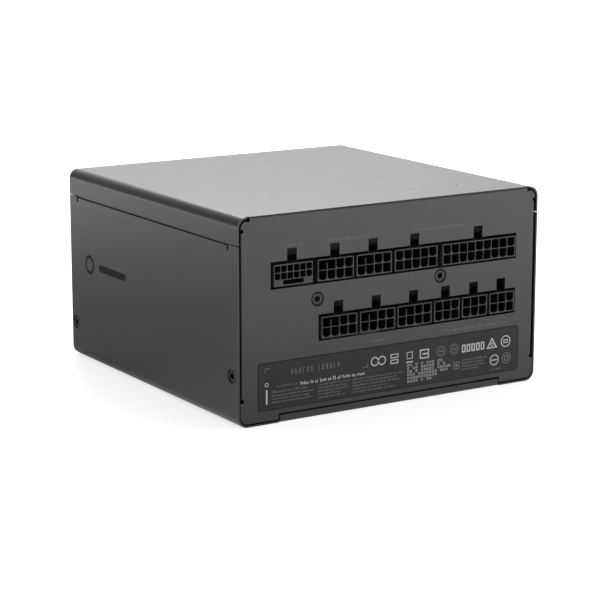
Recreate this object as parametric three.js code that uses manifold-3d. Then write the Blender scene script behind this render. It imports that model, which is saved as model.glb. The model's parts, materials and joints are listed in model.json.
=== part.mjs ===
// Modular ATX power supply unit, in millimetres, +Z up.
// The origin is the centre of the case's footprint, on the surface that the unit stands on.
// The connector panel faces -Y, the mains inlet faces +Y, and the fan faces down.
import * as THREE from "three";
import { mergeVertices } from "three/addons/utils/BufferGeometryUtils.js";
import Module from "manifold-3d";

const wasm = await Module();
wasm.setup();

// ---------------------------------------------------------------- driving dimensions

const WIDTH = 150;
const DEPTH = 150;
const HEIGHT = 86;
const SHEET = 0.8; // steel sheet of both shells
const LONG_BEND = 4.4; // outer radius of the four long bends, along Y
const SHORT_BEND = 1.6; // outer radius of the bends at the two end panels
const GAP = 0.3; // usual clearance between neighbouring pieces
const GRID = 0.001; // corners are rounded to this, so that faces that meet share exact numbers
const FINE = 36; // sides of a large circle
const ROUND = 16; // sides of a shaft or a can
const COARSE = 12; // sides of a screw or a small hole

const SEAM_Z = 74.3; // where the upper shell's flanges meet the lower shell's walls
const SEAM_GAP = 0.4;

const HALF_WIDTH = WIDTH / 2;
const HALF_DEPTH = DEPTH / 2;
const BEND_X = HALF_WIDTH - LONG_BEND;

const PANEL_BOTTOM = 1.1;
const PANEL_EDGE = 73.1; // half width of a panel between its side notches
const PANEL_FOOT = 73.9; // half width of a panel below its side notches
const NOTCH = 1.4; // bend relief notches
const LOW_NOTCH_Z = 11.05;
const HIGH_NOTCH_Z = 80.35;
const FLANGE_LENGTH = 12; // how far a panel's side flanges run into the case
const LIP_HALF = 55.4; // half width of the lips that the floor turns up at each end
const LIP_TOP = 3.1;

const FAN_SIZE = 140;
const FAN_DEPTH = 25;
const FAN_HOLE = 62.25; // half the spacing of the fan's screw holes
const FAN_Z = 2.4; // underside of the fan's frame
const FAN_BORE = 66.8;
const FAN_OPENING = 65.5; // radius of the opening in the floor
const RECESS_HALF = 67.6; // half width of the floor's recess for the guard
const RECESS_DEPTH = 1.4;
const FAN_SCREW_HEAD = 3.7;
const FAN_SCREW_SHANK = 1.8;
const FAN_SCREW_Z = 0.15; // the heads' faces, just above the surface that the unit stands on
const HUB_RADIUS = 22;
const SHAFT_RADIUS = 1.5;
const BEARING_CLEARANCE = 0.08;

const SIDE_SCREWS = [
  { name: "front", y: -69.7, z: 20.9 },
  { name: "rear", y: 70.9, z: 16.0 },
];
const PANEL_SCREWS = [
  { name: "right", x: 23.8, z: 52.1 },
  { name: "left", x: -37.4, z: 49.2 },
];
const COUNTERSINK = 2.9; // mouth radius of the dimple that a case screw sits in
const SCREW_HEAD = 2.65;
const SCREW_SHANK = 1.25;

// A connector's cells: S is square, R has its two lower corners cut off. Top row, then bottom row.
const PITCH = 4.2;
const CELL = 3.5;
const SOCKET_MARGIN = 0.6;
const SOCKET_HEIGHT = 2 * PITCH + SOCKET_MARGIN;
const SOCKET_PROUD = 0.8; // how far the sockets stand out of the panel
const SOCKET_LENGTH = 13.3;
const CELL_DEPTH = 10;
const EIGHT_PIN = ["SSRR", "RRRS"];
const SIX_PIN = ["SSR", "RRS"];
const TEN_PIN = ["RRSSR", "SSRRS"];
const EIGHTEEN_PIN = ["RRSSRRSSR", "SSRRSSRRS"];
const LATCH_WIDTH = 4.5;
const UPPER_ROW = {
  z: 61.05,
  window: [-59.4, 63.4, 55.9, 66.6],
  latchTop: 71.5,
  sockets: [
    { name: "socket_gpu_16_pin", x: -49.4, latch: -49.65 },
    { name: "socket_power_8_pin_1", x: -29.1, latch: -29.15, keys: EIGHT_PIN },
    { name: "socket_power_8_pin_2", x: -10.3, latch: -10.45, keys: EIGHT_PIN },
    { name: "socket_board_10_pin", x: 10.8, latch: 10.4, keys: TEN_PIN },
    { name: "socket_board_18_pin", x: 43.5, latch: 43.2, keys: EIGHTEEN_PIN },
  ],
};
const LOWER_ROW = {
  z: 37.1,
  window: [-36.8, 63.4, 31.8, 42.7],
  latchTop: 47.45,
  sockets: [
    { name: "socket_power_8_pin_3", x: -27.2, latch: -27.3, keys: EIGHT_PIN },
    { name: "socket_power_8_pin_4", x: -8.35, latch: -8.65, keys: EIGHT_PIN },
    { name: "socket_power_8_pin_5", x: 10.3, latch: 10.1, keys: EIGHT_PIN },
    { name: "socket_drive_6_pin_1", x: 26.95, latch: 26.6, keys: SIX_PIN },
    { name: "socket_drive_6_pin_2", x: 41.5, latch: 41.3, keys: SIX_PIN },
    { name: "socket_drive_6_pin_3", x: 56.05, latch: 55.9, keys: SIX_PIN },
  ],
};

const LABEL = { x0: -65.8, x1: 65.9, z0: 5.8, z1: 25.7, thickness: 0.15 };

const INLET_X = -43;
const INLET_Z = 50;
const INLET_SCREW_X = 20; // half the spacing of the inlet's screws
const INLET_PROUD = 1.9;
const INLET_PINS = [
  { name: "inlet_pin_live", x: -7, z: -2 },
  { name: "inlet_pin_neutral", x: 7, z: -2 },
  { name: "inlet_pin_earth", x: 0, z: 2 },
];
const SWITCH_X = -6;
const SWITCH_Z = 50;
const ROCKER_TILT = 10; // degrees to each side of level; the rest position is off
const ROCKER_PIVOT_Y = -3.4; // from the panel's outer face

const CASE_SCREW_HOLES = [
  [-69, 80],
  [69, 80],
  [69, 16],
  [-45, 6],
]; // the standard pattern for fastening the unit in a computer case
const CASE_SCREW_RADIUS = 1.75;

const BOARD_Z = 77.6; // underside of the main board, which hangs from the top
const BOARD_THICKNESS = 1.6;
const STANDOFFS = [
  [-61.2, 51.3],
  [61.2, 51.3],
  [-46.7, -56.1],
  [46.7, -56.1],
];

// ---------------------------------------------------------------- finishes

const FINISHES = {
  black_steel: { color: 0x2c2d2f, roughness: 0.45, metalness: 0.6 },
  bright_steel: { color: 0xb8babd, roughness: 0.3, metalness: 1 },
  black_zinc: { color: 0x1b1b1c, roughness: 0.35, metalness: 0.8 },
  label_film: { color: 0x232426, roughness: 0.5, metalness: 0 },
  black_plastic: { color: 0x18181a, roughness: 0.5, metalness: 0 },
  brass: { color: 0xb9a05a, roughness: 0.3, metalness: 1 },
  circuit_board: { color: 0x1d4a2c, roughness: 0.5, metalness: 0 },
  clear_sheet: { color: 0xd8d2c0, roughness: 0.4, metalness: 0 },
  aluminium: { color: 0x9a9da1, roughness: 0.4, metalness: 1 },
  ferrite: { color: 0x3a3836, roughness: 0.7, metalness: 0 },
  copper: { color: 0xb06a3a, roughness: 0.35, metalness: 1 },
  capacitor_sleeve: { color: 0x2a2230, roughness: 0.3, metalness: 0 },
};

// ---------------------------------------------------------------- outlines

const X = new THREE.Vector3(1, 0, 0);
const Y = new THREE.Vector3(0, 1, 0);
const Z = new THREE.Vector3(0, 0, 1);

// Each matrix turns a drawing in (u, v), thickened along w, to lie in that plane of the object.
const PLANES = {
  xy: new THREE.Matrix4(),
  xz: new THREE.Matrix4().makeBasis(X, Z, Y.clone().negate()),
  yz: new THREE.Matrix4().makeBasis(Y, Z, X),
};

function arc(u, v, radius, from, to, steps) {
  return Array.from({ length: steps + 1 }, (_, i) => {
    const angle = THREE.MathUtils.degToRad(from + ((to - from) * i) / steps);
    return [u + radius * Math.cos(angle), v + radius * Math.sin(angle)];
  });
}

function circle(u, v, radius, segments) {
  return arc(u, v, radius, 0, 360 - 360 / segments, segments - 1);
}

function rectangle(u0, u1, v0, v1) {
  return [
    [u0, v0],
    [u1, v0],
    [u1, v1],
    [u0, v1],
  ];
}

function roundedRectangle(u0, u1, v0, v1, radius, steps = 3) {
  return [
    ...arc(u1 - radius, v1 - radius, radius, 0, 90, steps),
    ...arc(u0 + radius, v1 - radius, radius, 90, 180, steps),
    ...arc(u0 + radius, v0 + radius, radius, 180, 270, steps),
    ...arc(u1 - radius, v0 + radius, radius, 270, 360, steps),
  ];
}

function mirrored(points) {
  return points.map(([u, v]) => [-u, v]).reverse();
}

// ---------------------------------------------------------------- solids

// Makes a closed geometry a solid. Corners are rounded to the grid and merged, and triangles that
// have shrunk to a line, such as those on a lathe's axis, are dropped.
function solidOf(geometry) {
  const bare = geometry.clone();
  bare.deleteAttribute("normal");
  bare.deleteAttribute("uv");
  const values = bare.attributes.position.array;
  values.forEach((value, i) => {
    values[i] = Math.round(value / GRID) * GRID;
  });
  const merged = mergeVertices(bare, GRID / 2);
  const corners = merged.index.array;
  const kept = [];
  for (let i = 0; i < corners.length; i += 3) {
    const [a, b, c] = corners.slice(i, i + 3);
    if (a !== b && b !== c && c !== a) kept.push(a, b, c);
  }
  const mesh = new wasm.Mesh({
    numProp: 3,
    vertProperties: merged.attributes.position.array,
    triVerts: new Uint32Array(kept),
  });
  return new wasm.Manifold(mesh);
}

function geometryOf(solid) {
  const mesh = solid.getMesh();
  const geometry = new THREE.BufferGeometry();
  geometry.setAttribute("position", new THREE.BufferAttribute(mesh.vertProperties, mesh.numProp));
  geometry.setIndex(new THREE.BufferAttribute(mesh.triVerts, 1));
  geometry.computeVertexNormals();
  return geometry;
}

// An outline drawn in a plane of the object, thickened from low to high along the third axis.
function prism(plane, outline, low, high, holes = []) {
  const shape = new THREE.Shape(outline.map(([u, v]) => new THREE.Vector2(u, v)));
  const geometry = new THREE.ExtrudeGeometry(shape, { depth: high - low, bevelEnabled: false });
  geometry.translate(0, 0, plane === "xz" ? -high : low);
  geometry.applyMatrix4(PLANES[plane]);
  return cut(solidOf(geometry), ...holes.map((hole) => prism(plane, hole, low - 1, high + 1)));
}

function block(x0, x1, y0, y1, z0, z1) {
  return prism("xy", rectangle(x0, x1, y0, y1), z0, z1);
}

// A profile of [radius, height] points turned about an axis. It starts and ends on the axis, or
// it is a ring's section, which closes on itself.
function turned(profile, segments, axis = Z, at = [0, 0, 0]) {
  const points = profile.map(([radius, height]) => new THREE.Vector2(radius, height));
  if (THREE.ShapeUtils.area(points) < 0) points.reverse();
  if (profile[0][0] > 0) points.push(points[0].clone());
  const geometry = new THREE.LatheGeometry(points, segments);
  geometry.applyQuaternion(new THREE.Quaternion().setFromUnitVectors(Y, axis));
  geometry.translate(...at);
  return solidOf(geometry);
}

function tube(inner, outer, low, high, segments) {
  const section = rectangle(inner, outer, low, high);
  return turned(section, segments);
}

function joined(first, ...others) {
  return others.reduce((whole, other) => whole.add(other), first);
}

function cut(solid, ...tools) {
  return tools.reduce((left, tool) => left.subtract(tool), solid);
}

// ---------------------------------------------------------------- the tree of pieces

const unit = new THREE.Group();

function subGroup(x, y, z, parent = unit) {
  const group = new THREE.Group();
  group.position.set(x, y, z);
  parent.add(group);
  return group;
}

function addPiece(name, shape, finish, parent = unit) {
  const geometry = shape.isBufferGeometry ? shape : geometryOf(shape);
  const piece = new THREE.Mesh(geometry, new THREE.MeshStandardMaterial(FINISHES[finish]));
  piece.name = name;
  parent.add(piece);
  return piece;
}

// ---------------------------------------------------------------- sheet metal

// Section of a sheet bent into a channel: a flat base with a leg at each side.
function channelSection(baseZ, legZ) {
  const up = Math.sign(legZ - baseZ);
  const bendZ = baseZ + up * LONG_BEND;
  const side = (radius) => [
    [BEND_X + radius, legZ],
    ...arc(BEND_X, bendZ, radius, 0, -90 * up, 5),
  ];
  const outer = side(LONG_BEND);
  const inner = side(LONG_BEND - SHEET);
  return [...outer, ...mirrored(outer), ...mirrored(inner).reverse(), ...inner.reverse()];
}

// Section of a 90 degree bend in the sheet, with a straight run on past each end of it.
// It turns from the end face at u = 0 to the flat face at v = 0, inside the corner (u, v > 0).
function bendSection(radius, runU, runV) {
  const inner = radius - SHEET;
  return [
    [0, runV],
    ...arc(radius, radius, radius, 180, 270, 3),
    [runU, 0],
    [runU, SHEET],
    ...arc(radius, radius, inner, 270, 180, 3),
    [SHEET, runV],
  ];
}

// The dimple that a countersunk screw sits in, pressed into a sheet at the point given.
// inward is the direction from the sheet's outer face to its inner face.
function dimpledHole(sheet, at, inward) {
  const depth = 1.2;
  const rim = COUNTERSINK + 0.4;
  const hole = turned([[0, -1], [rim - 0.1, -1], [rim - 0.1, 2], [0, 2]], COARSE, inward, at);
  const section = [
    [COUNTERSINK, 0],
    [rim, 0],
    [rim, SHEET],
    [rim - 0.6, depth],
    [COUNTERSINK - depth, depth],
  ];
  return cut(sheet, hole).add(turned(section, COARSE, inward, at));
}

// One end panel with its bends, its side flanges and its bend relief notches.
// end is -1 for the connector panel and 1 for the mains panel.
function endPanel(end) {
  const lowNotch = [LOW_NOTCH_Z - NOTCH / 2, LOW_NOTCH_Z + NOTCH / 2];
  const highNotch = [HIGH_NOTCH_Z - NOTCH / 2, HIGH_NOTCH_Z + NOTCH / 2];
  const overlap = 0.2;
  const flangeFace = PANEL_EDGE - SHORT_BEND + overlap;
  const notchX = PANEL_EDGE - SHEET;
  const cornerZ = HEIGHT - LONG_BEND;
  const bendStartX = BEND_X - NOTCH;
  const bendStartZ = HEIGHT - SHORT_BEND;
  const footRadius = PANEL_FOOT - BEND_X;
  const right = [
    [LIP_HALF + 0.5, PANEL_BOTTOM],
    ...arc(BEND_X, PANEL_BOTTOM + footRadius, footRadius, -90, 0, 4),
    [PANEL_FOOT, lowNotch[0]],
    [notchX, lowNotch[0]],
    [notchX, lowNotch[1]],
    [flangeFace, lowNotch[1]],
    [flangeFace, highNotch[0]],
    [notchX, highNotch[0]],
    [notchX, highNotch[1]],
    [PANEL_EDGE, highNotch[1]],
    ...arc(BEND_X, cornerZ, PANEL_EDGE - BEND_X, 0, 90, 4),
    [bendStartX, cornerZ + PANEL_EDGE - BEND_X],
    [bendStartX, bendStartZ + overlap],
  ];
  const lipGap = [LIP_HALF + 0.5, LIP_TOP + 0.5];
  const outline = [lipGap, ...right, ...mirrored(right), [-lipGap[0], lipGap[1]]];
  const [low, high] = end < 0 ? [-HALF_DEPTH, SHEET - HALF_DEPTH] : [HALF_DEPTH - SHEET, HALF_DEPTH];
  let panel = prism("xz", outline, low, high);

  const topBend = bendSection(SHORT_BEND, SHORT_BEND + overlap, SHORT_BEND);
  const topSection = topBend.map(([u, v]) => [end * (HALF_DEPTH - u), HEIGHT - v]);
  panel = panel.add(prism("yz", topSection, -bendStartX, bendStartX));

  for (const side of [-1, 1]) {
    const flange = bendSection(SHORT_BEND, FLANGE_LENGTH, SHORT_BEND);
    const section = flange.map(([u, v]) => [side * (PANEL_EDGE - v), end * (HALF_DEPTH - u)]);
    panel = panel.add(prism("xy", section, lowNotch[1], highNotch[0]));
  }
  return panel;
}

// The holes that let the side screws into the panels' flanges.
function sideScrewHoles(radius) {
  return SIDE_SCREWS.map(({ y, z }) =>
    prism("yz", circle(y, z, radius, COARSE), -HALF_WIDTH - 1, HALF_WIDTH + 1),
  );
}

function socketWindows(row) {
  const [x0, x1, z0, z1] = row.window;
  const behind = SHEET - HALF_DEPTH + 0.2;
  const front = -HALF_DEPTH - 0.2;
  const slots = row.sockets.map(({ latch }) =>
    block(latch - LATCH_WIDTH / 2, latch + LATCH_WIDTH / 2, front, behind, z1 - 1, row.latchTop),
  );
  return [block(x0, x1, front, behind, z0, z1), ...slots];
}

// Centres of the honeycomb vent: as many as fit beside and below the mains inlet.
function ventCentres(pitch, radius) {
  const fits = (x, z) => {
    const inField = Math.abs(x) < 65 - radius && z > 12 + radius && z < 76 - radius;
    const besideInlet = x > SWITCH_X + 10 + radius;
    const belowInlet = z < INLET_Z - 14 - radius;
    return inField && (besideInlet || belowInlet);
  };
  const rise = (pitch * Math.sqrt(3)) / 2;
  const centres = [];
  for (let row = 0; row * rise < HEIGHT; row += 1) {
    for (let column = -9; column <= 9; column += 1) {
      const x = pitch * (column + (row % 2) / 2);
      if (fits(x, row * rise)) centres.push([x, row * rise]);
    }
  }
  return centres;
}

function hexagon(u, v, radius) {
  return arc(u, v, radius, 30, 330, 5);
}

function upperShell() {
  const hood = prism("xz", channelSection(HEIGHT, SEAM_Z + SEAM_GAP / 2), -HALF_DEPTH, HALF_DEPTH);
  const trims = [-1, 1].map((end) => {
    const edges = [end * (HALF_DEPTH - SHORT_BEND), end * (HALF_DEPTH + 1)].sort((a, b) => a - b);
    return block(-BEND_X, BEND_X, ...edges, HEIGHT - 2, HEIGHT + 1);
  });

  let front = cut(endPanel(-1), ...socketWindows(UPPER_ROW), ...socketWindows(LOWER_ROW));
  for (const { x, z } of PANEL_SCREWS) front = dimpledHole(front, [x, -HALF_DEPTH, z], Y);

  const inside = HALF_DEPTH - SHEET - 0.2;
  const outside = HALF_DEPTH + 0.2;
  const through = (outline) => prism("xz", outline, inside, outside);
  const ventPitch = 12;
  const ventRadius = 6.1;
  const rear = cut(
    endPanel(1),
    through(roundedRectangle(INLET_X - 14.2, INLET_X + 14.2, INLET_Z - 10.2, INLET_Z + 10.2, 2)),
    through(circle(INLET_X - INLET_SCREW_X, INLET_Z, 1.6, COARSE)),
    through(circle(INLET_X + INLET_SCREW_X, INLET_Z, 1.6, COARSE)),
    through(rectangle(SWITCH_X - 7, SWITCH_X + 7, SWITCH_Z - 10, SWITCH_Z + 10)),
    ...CASE_SCREW_HOLES.map(([x, z]) => through(circle(x, z, CASE_SCREW_RADIUS, COARSE))),
    ...ventCentres(ventPitch, ventRadius).map(([x, z]) => through(hexagon(x, z, ventRadius))),
  );
  return cut(joined(cut(hood, ...trims), front, rear), ...sideScrewHoles(SCREW_SHANK + GAP));
}

function lowerShell() {
  const wallTop = SEAM_Z - SEAM_GAP / 2;
  let shell = prism("xz", channelSection(0, wallTop), -HALF_DEPTH, HALF_DEPTH);

  const wall = RECESS_HALF + SHEET;
  const square = (half, radius) => roundedRectangle(-half, half, -half, half, radius, 4);
  shell = cut(shell, prism("xy", square(RECESS_HALF, 5), -1, SHEET + 1));
  const screwHoles = [-1, 1].flatMap((i) =>
    [-1, 1].map((j) => circle(i * FAN_HOLE, j * FAN_HOLE, FAN_SCREW_HEAD - 0.9, COARSE)),
  );
  const opening = circle(0, 0, FAN_OPENING, FINE);
  const seatTop = RECESS_DEPTH + SHEET;
  shell = joined(
    shell,
    prism("xy", square(wall, 5 + SHEET), 0, seatTop, [square(RECESS_HALF, 5)]),
    prism("xy", square(wall - 0.4, 5), RECESS_DEPTH, seatTop, [opening, ...screwHoles]),
  );

  for (const end of [-1, 1]) {
    const edges = [end * (HALF_DEPTH - SHORT_BEND), end * (HALF_DEPTH + 1)].sort((a, b) => a - b);
    shell = cut(shell, block(-LIP_HALF - 0.5, LIP_HALF + 0.5, ...edges, -1, SHEET + 1));
    const lip = bendSection(SHORT_BEND, SHORT_BEND + 0.2, LIP_TOP);
    const section = lip.map(([u, v]) => [end * (HALF_DEPTH - u), v]);
    shell = shell.add(prism("yz", section, -LIP_HALF, LIP_HALF));
  }

  for (const side of [-1, 1]) {
    shell = shell.add(seamTab(side, wallTop));
    for (const y of [-67.2, 67.2]) {
      const [x0, x1] = side < 0 ? [-HALF_WIDTH - 1, -73.2] : [73.2, HALF_WIDTH + 1];
      shell = cut(shell, block(x0, x1, y - 0.35, y + 0.35, wallTop - 2.1, wallTop + 1));
    }
    for (const { y, z } of SIDE_SCREWS) {
      const inward = X.clone().multiplyScalar(-side);
      shell = dimpledHole(shell, [side * HALF_WIDTH, y, z], inward);
    }
  }
  return shell;
}

// The tab that steps in from the lower shell's wall and stands behind the upper shell's flange.
function seamTab(side, wallTop) {
  const faceX = HALF_WIDTH - SHEET - 0.1;
  const backX = faceX - SHEET;
  const section = [
    [backX, wallTop - 2.5],
    [faceX + 0.4, wallTop - 2.5],
    [faceX + 0.4, wallTop - 1.1],
    [faceX, wallTop - 0.7],
    [faceX, wallTop + 4.2],
    [backX, wallTop + 4.2],
  ];
  const outline = section.map(([x, z]) => [side * x, z]);
  return prism("xz", outline, -66.85, 66.85);
}

// ---------------------------------------------------------------- fasteners

// A countersunk screw with a cross recess, its head's face at height 0 and its tip below.
function screw(headRadius, shankRadius, length) {
  const cone = headRadius - shankRadius;
  const body = turned(
    [[0, 0], [headRadius, 0], [shankRadius, -cone], [shankRadius, -length], [0, -length]],
    COARSE,
  );
  const arm = headRadius * 0.6;
  const slot = 0.35;
  const depth = 0.9;
  return cut(
    body,
    block(-arm, arm, -slot, slot, -depth, 1),
    block(-slot, slot, -arm, arm, -depth, 1),
  );
}

function addScrew(name, geometry, position, outward) {
  const piece = addPiece(name, geometry, "black_zinc");
  piece.quaternion.setFromUnitVectors(Z, outward);
  piece.position.set(...position);
}

function addCaseScrews() {
  const geometry = geometryOf(screw(SCREW_HEAD, SCREW_SHANK, 5.5));
  const sunk = 0.1;
  for (const side of [-1, 1]) {
    for (const { name, y, z } of SIDE_SCREWS) {
      const hand = side < 0 ? "left" : "right";
      const outward = X.clone().multiplyScalar(side);
      addScrew(`side_screw_${hand}_${name}`, geometry, [side * (HALF_WIDTH - sunk), y, z], outward);
    }
  }
  for (const { name, x, z } of PANEL_SCREWS) {
    addScrew(`panel_screw_${name}`, geometry, [x, sunk - HALF_DEPTH, z], Y.clone().negate());
  }
}

// ---------------------------------------------------------------- connector panel

function cellOutline(u, v, size, key) {
  const half = size / 2;
  const corner = size * 0.26;
  if (key === "S") return rectangle(u - half, u + half, v - half, v + half);
  return [
    [u - half, v + half],
    [u - half, v - half + corner],
    [u - half + corner, v - half],
    [u + half - corner, v - half],
    [u + half, v - half + corner],
    [u + half, v + half],
  ];
}

function powerCells(keys) {
  const columns = keys[0].length;
  return keys.flatMap((rowKeys, row) =>
    [...rowKeys].map((key, column) => {
      const u = (column - (columns - 1) / 2) * PITCH;
      const v = (0.5 - row) * PITCH;
      return cellOutline(u, v, CELL, key);
    }),
  );
}

// The 16-pin connector has two rows of six small cells above a tapered slot for its signal pins.
function graphicsCells() {
  const pitch = 3;
  const cells = [0, 1].flatMap((row) =>
    [0, 1, 2, 3, 4, 5].map((column) => {
      const u = (column - 2.5) * pitch;
      const v = 2.6 - row * pitch;
      return rectangle(u - 1.2, u + 1.2, v - 1.2, v + 1.2);
    }),
  );
  const slot = [[-4.8, -2.3], [-4.4, -3.7], [4.4, -3.7], [4.8, -2.3]];
  return [...cells, slot];
}

// A socket about its own centre, with its mouth at -Y and the ramp that holds the plug's latch.
function socket({ x, latch, keys }) {
  const width = keys ? keys[0].length * PITCH + SOCKET_MARGIN : 18.4;
  const half = { x: width / 2, z: SOCKET_HEIGHT / 2 };
  const outline = rectangle(-half.x, half.x, -half.z, half.z);
  const cells = keys ? powerCells(keys) : graphicsCells();
  const ramp = [
    [1.2, half.z - 0.2],
    [1.2, half.z],
    [3.4, half.z + 1],
    [4, half.z + 1],
    [4, half.z - 0.2],
  ];
  const rampX = latch - x;
  return joined(
    prism("xz", outline, 0, CELL_DEPTH, cells),
    prism("xz", outline, CELL_DEPTH, SOCKET_LENGTH),
    prism("yz", ramp, rampX - 1.7, rampX + 1.7),
  );
}

function addSockets() {
  for (const row of [UPPER_ROW, LOWER_ROW]) {
    const group = subGroup(0, -HALF_DEPTH - SOCKET_PROUD, row.z);
    for (const spec of row.sockets) {
      addPiece(spec.name, socket(spec), "black_plastic", group).position.x = spec.x;
    }
  }
}

// The board behind the sockets, with the two spacers that the panel's screws enter.
function modularBoard() {
  const front = SOCKET_LENGTH + GAP - HALF_DEPTH - SOCKET_PROUD;
  const back = front + BOARD_THICKNESS;
  const panelBack = SHEET - HALF_DEPTH;
  const spacers = PANEL_SCREWS.map(({ x, z }) =>
    prism("xz", circle(x, z, 3, COARSE), panelBack + 0.6, front + 0.2),
  );
  const holes = PANEL_SCREWS.map(({ x, z }) =>
    prism("xz", circle(x, z, SCREW_SHANK + GAP, COARSE), panelBack, back + 1),
  );
  const board = prism("xz", roundedRectangle(-61, 66, 30, 74, 2), front, back);
  return cut(joined(board, ...spacers), ...holes);
}

function ratingLabel() {
  const { x0, x1, z0, z1, thickness } = LABEL;
  const back = -HALF_DEPTH - 0.05;
  return prism("xz", roundedRectangle(x0, x1, z0, z1, 1), back - thickness, back);
}

// ---------------------------------------------------------------- fan

// The cone that a fan screw's head leaves in the guard's ear.
function countersunkEar(x, y) {
  const mouth = FAN_SCREW_HEAD + FAN_SCREW_Z + GAP;
  return turned([[0, -1], [mouth + 1, -1], [mouth - 2, 2], [0, 2]], COARSE, Z, [x, y, 0]);
}

// Rings on four arms, flush in the floor's recess.
function fanGuard() {
  const bottom = 0.1;
  const top = 1.1;
  const arm = 1.5;
  const reach = FAN_HOLE * Math.SQRT2;
  const rings = [64, 52, 40].map((radius) => tube(radius - 1, radius + 1, bottom, top, FINE));
  const ears = [-1, 1].flatMap((i) => [-1, 1].map((j) => [i * FAN_HOLE, j * FAN_HOLE]));
  const arms = [45, 135].map((angle) => {
    const bar = rectangle(-reach, reach, -arm, arm).map(([u, v]) => {
      const turn = new THREE.Vector2(u, v).rotateAround(new THREE.Vector2(), (angle * Math.PI) / 180);
      return [turn.x, turn.y];
    });
    return prism("xy", bar, bottom, top);
  });
  const whole = joined(
    prism("xy", circle(0, 0, 26, FINE / 2), bottom, top),
    ...rings,
    ...arms,
    ...ears.map(([x, y]) => prism("xy", circle(x, y, 4.9, COARSE), bottom, top)),
  );
  return cut(whole, ...ears.map(([x, y]) => countersunkEar(x, y)));
}

function fanFrame() {
  const half = FAN_SIZE / 2;
  const flange = 3.5;
  const bore = circle(0, 0, FAN_BORE, FINE);
  const outline = roundedRectangle(-half, half, -half, half, 6, 3);
  const holes = [-1, 1].flatMap((i) =>
    [-1, 1].map((j) => circle(i * FAN_HOLE, j * FAN_HOLE, 2.2, COARSE)),
  );
  const plate = (low) => prism("xy", outline, low, low + flange, [bore, ...holes]);
  const baseLow = FAN_DEPTH - 3;
  const struts = [0, 90].map((angle) => {
    const strut = block(-67.5, 67.5, -2, 2, baseLow, FAN_DEPTH);
    return strut.rotate([0, 0, angle + 20]);
  });
  const whole = joined(
    plate(0),
    plate(FAN_DEPTH - flange),
    tube(FAN_BORE, 69.6, 0, FAN_DEPTH, FINE),
    ...struts,
    prism("xy", circle(0, 0, 21, FINE / 2), baseLow, FAN_DEPTH),
    tube(3.2, 4.6, 6.5, baseLow + 0.5, ROUND),
  );
  return cut(whole, prism("xy", circle(0, 0, 3.2, ROUND), 0, FAN_DEPTH - 1));
}

// One blade: a slab bent onto the rotor's cylinder, steep at the hub and flatter at the tip.
function fanBlade() {
  const root = HUB_RADIUS - 0.8;
  const tip = FAN_BORE - 1.3;
  const slab = new THREE.BoxGeometry(1, 1.6, 1, 4, 1, 3);
  const place = slab.attributes.position;
  const spot = new THREE.Vector3();
  for (let i = 0; i < place.count; i += 1) {
    spot.fromBufferAttribute(place, i);
    const along = spot.x + 0.5;
    const radius = THREE.MathUtils.lerp(root, tip, along);
    const pitch = THREE.MathUtils.degToRad(THREE.MathUtils.lerp(50, 26, along));
    const chord = THREE.MathUtils.lerp(20, 33, along) * spot.z;
    const camber = 2.4 * (1 - 4 * spot.z * spot.z);
    const lift = spot.y + camber;
    const around = lift * Math.sin(pitch) - chord * Math.cos(pitch);
    const sweep = 0.32 * along * along;
    const angle = around / radius + sweep;
    const height = lift * Math.cos(pitch) + chord * Math.sin(pitch);
    place.setXYZ(i, radius * Math.cos(angle), radius * Math.sin(angle), height);
  }
  return solidOf(slab).translate([0, 0, 10]);
}

function fanRotor() {
  const blades = 7;
  const low = 2;
  const high = 19;
  const cup = turned(
    [
      [0, low],
      [HUB_RADIUS - 1, low],
      [HUB_RADIUS, low + 1],
      [HUB_RADIUS, high],
      [HUB_RADIUS - 1.8, high],
      [HUB_RADIUS - 1.8, low + 1.8],
      [3, low + 1.8],
      [3, low + 3.5],
      [0, low + 3.5],
    ],
    FINE,
  );
  const shaftHole = prism("xy", circle(0, 0, SHAFT_RADIUS + 0.05, ROUND), low + 0.6, low + 5);
  const spins = Array.from({ length: blades }, (_, i) => fanBlade().rotate([0, 0, (360 * i) / blades]));
  const inside = tube(3, HUB_RADIUS - 1.8, low + 1.8, high + 10, FINE);
  return cut(joined(cup, ...spins), inside, shaftHole);
}

function fanStator() {
  const low = 7;
  const high = 17;
  const poles = block(-17, 17, -3.5, 3.5, low, high);
  const shape = joined(
    prism("xy", circle(0, 0, 9, ROUND), low, high),
    poles,
    poles.rotate([0, 0, 90]),
  );
  const limit = prism("xy", circle(0, 0, 16.8, FINE / 2), low - 1, high + 1);
  return shape.intersect(limit).subtract(prism("xy", circle(0, 0, 4.9, ROUND), low - 1, high + 1));
}

function addFan() {
  const fan = subGroup(0, 0, FAN_Z);
  addPiece("fan_frame", fanFrame(), "black_plastic", fan);
  addPiece("fan_rotor", fanRotor(), "black_plastic", fan);
  addPiece("fan_magnet_ring", tube(18, HUB_RADIUS - 2.2, 5, 18, FINE / 2), "ferrite", fan);
  addPiece("fan_stator", fanStator(), "copper", fan);
  const bore = SHAFT_RADIUS + BEARING_CLEARANCE;
  addPiece("fan_bearing", tube(bore, 2.9, 7, FAN_DEPTH - 3.5, ROUND), "brass", fan);
  const shaft = prism("xy", circle(0, 0, SHAFT_RADIUS, ROUND), 2.8, FAN_DEPTH - 4.5);
  addPiece("fan_shaft", shaft, "bright_steel", fan);
  addPiece("fan_guard", fanGuard(), "black_steel");
  const geometry = geometryOf(screw(FAN_SCREW_HEAD, FAN_SCREW_SHANK, 12));
  const down = Z.clone().negate();
  for (const [end, j] of [["front", -1], ["rear", 1]]) {
    for (const [hand, i] of [["left", -1], ["right", 1]]) {
      addScrew(`fan_screw_${end}_${hand}`, geometry, [i * FAN_HOLE, j * FAN_HOLE, FAN_SCREW_Z], down);
    }
  }
}

// ---------------------------------------------------------------- mains inlet and switch

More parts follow.
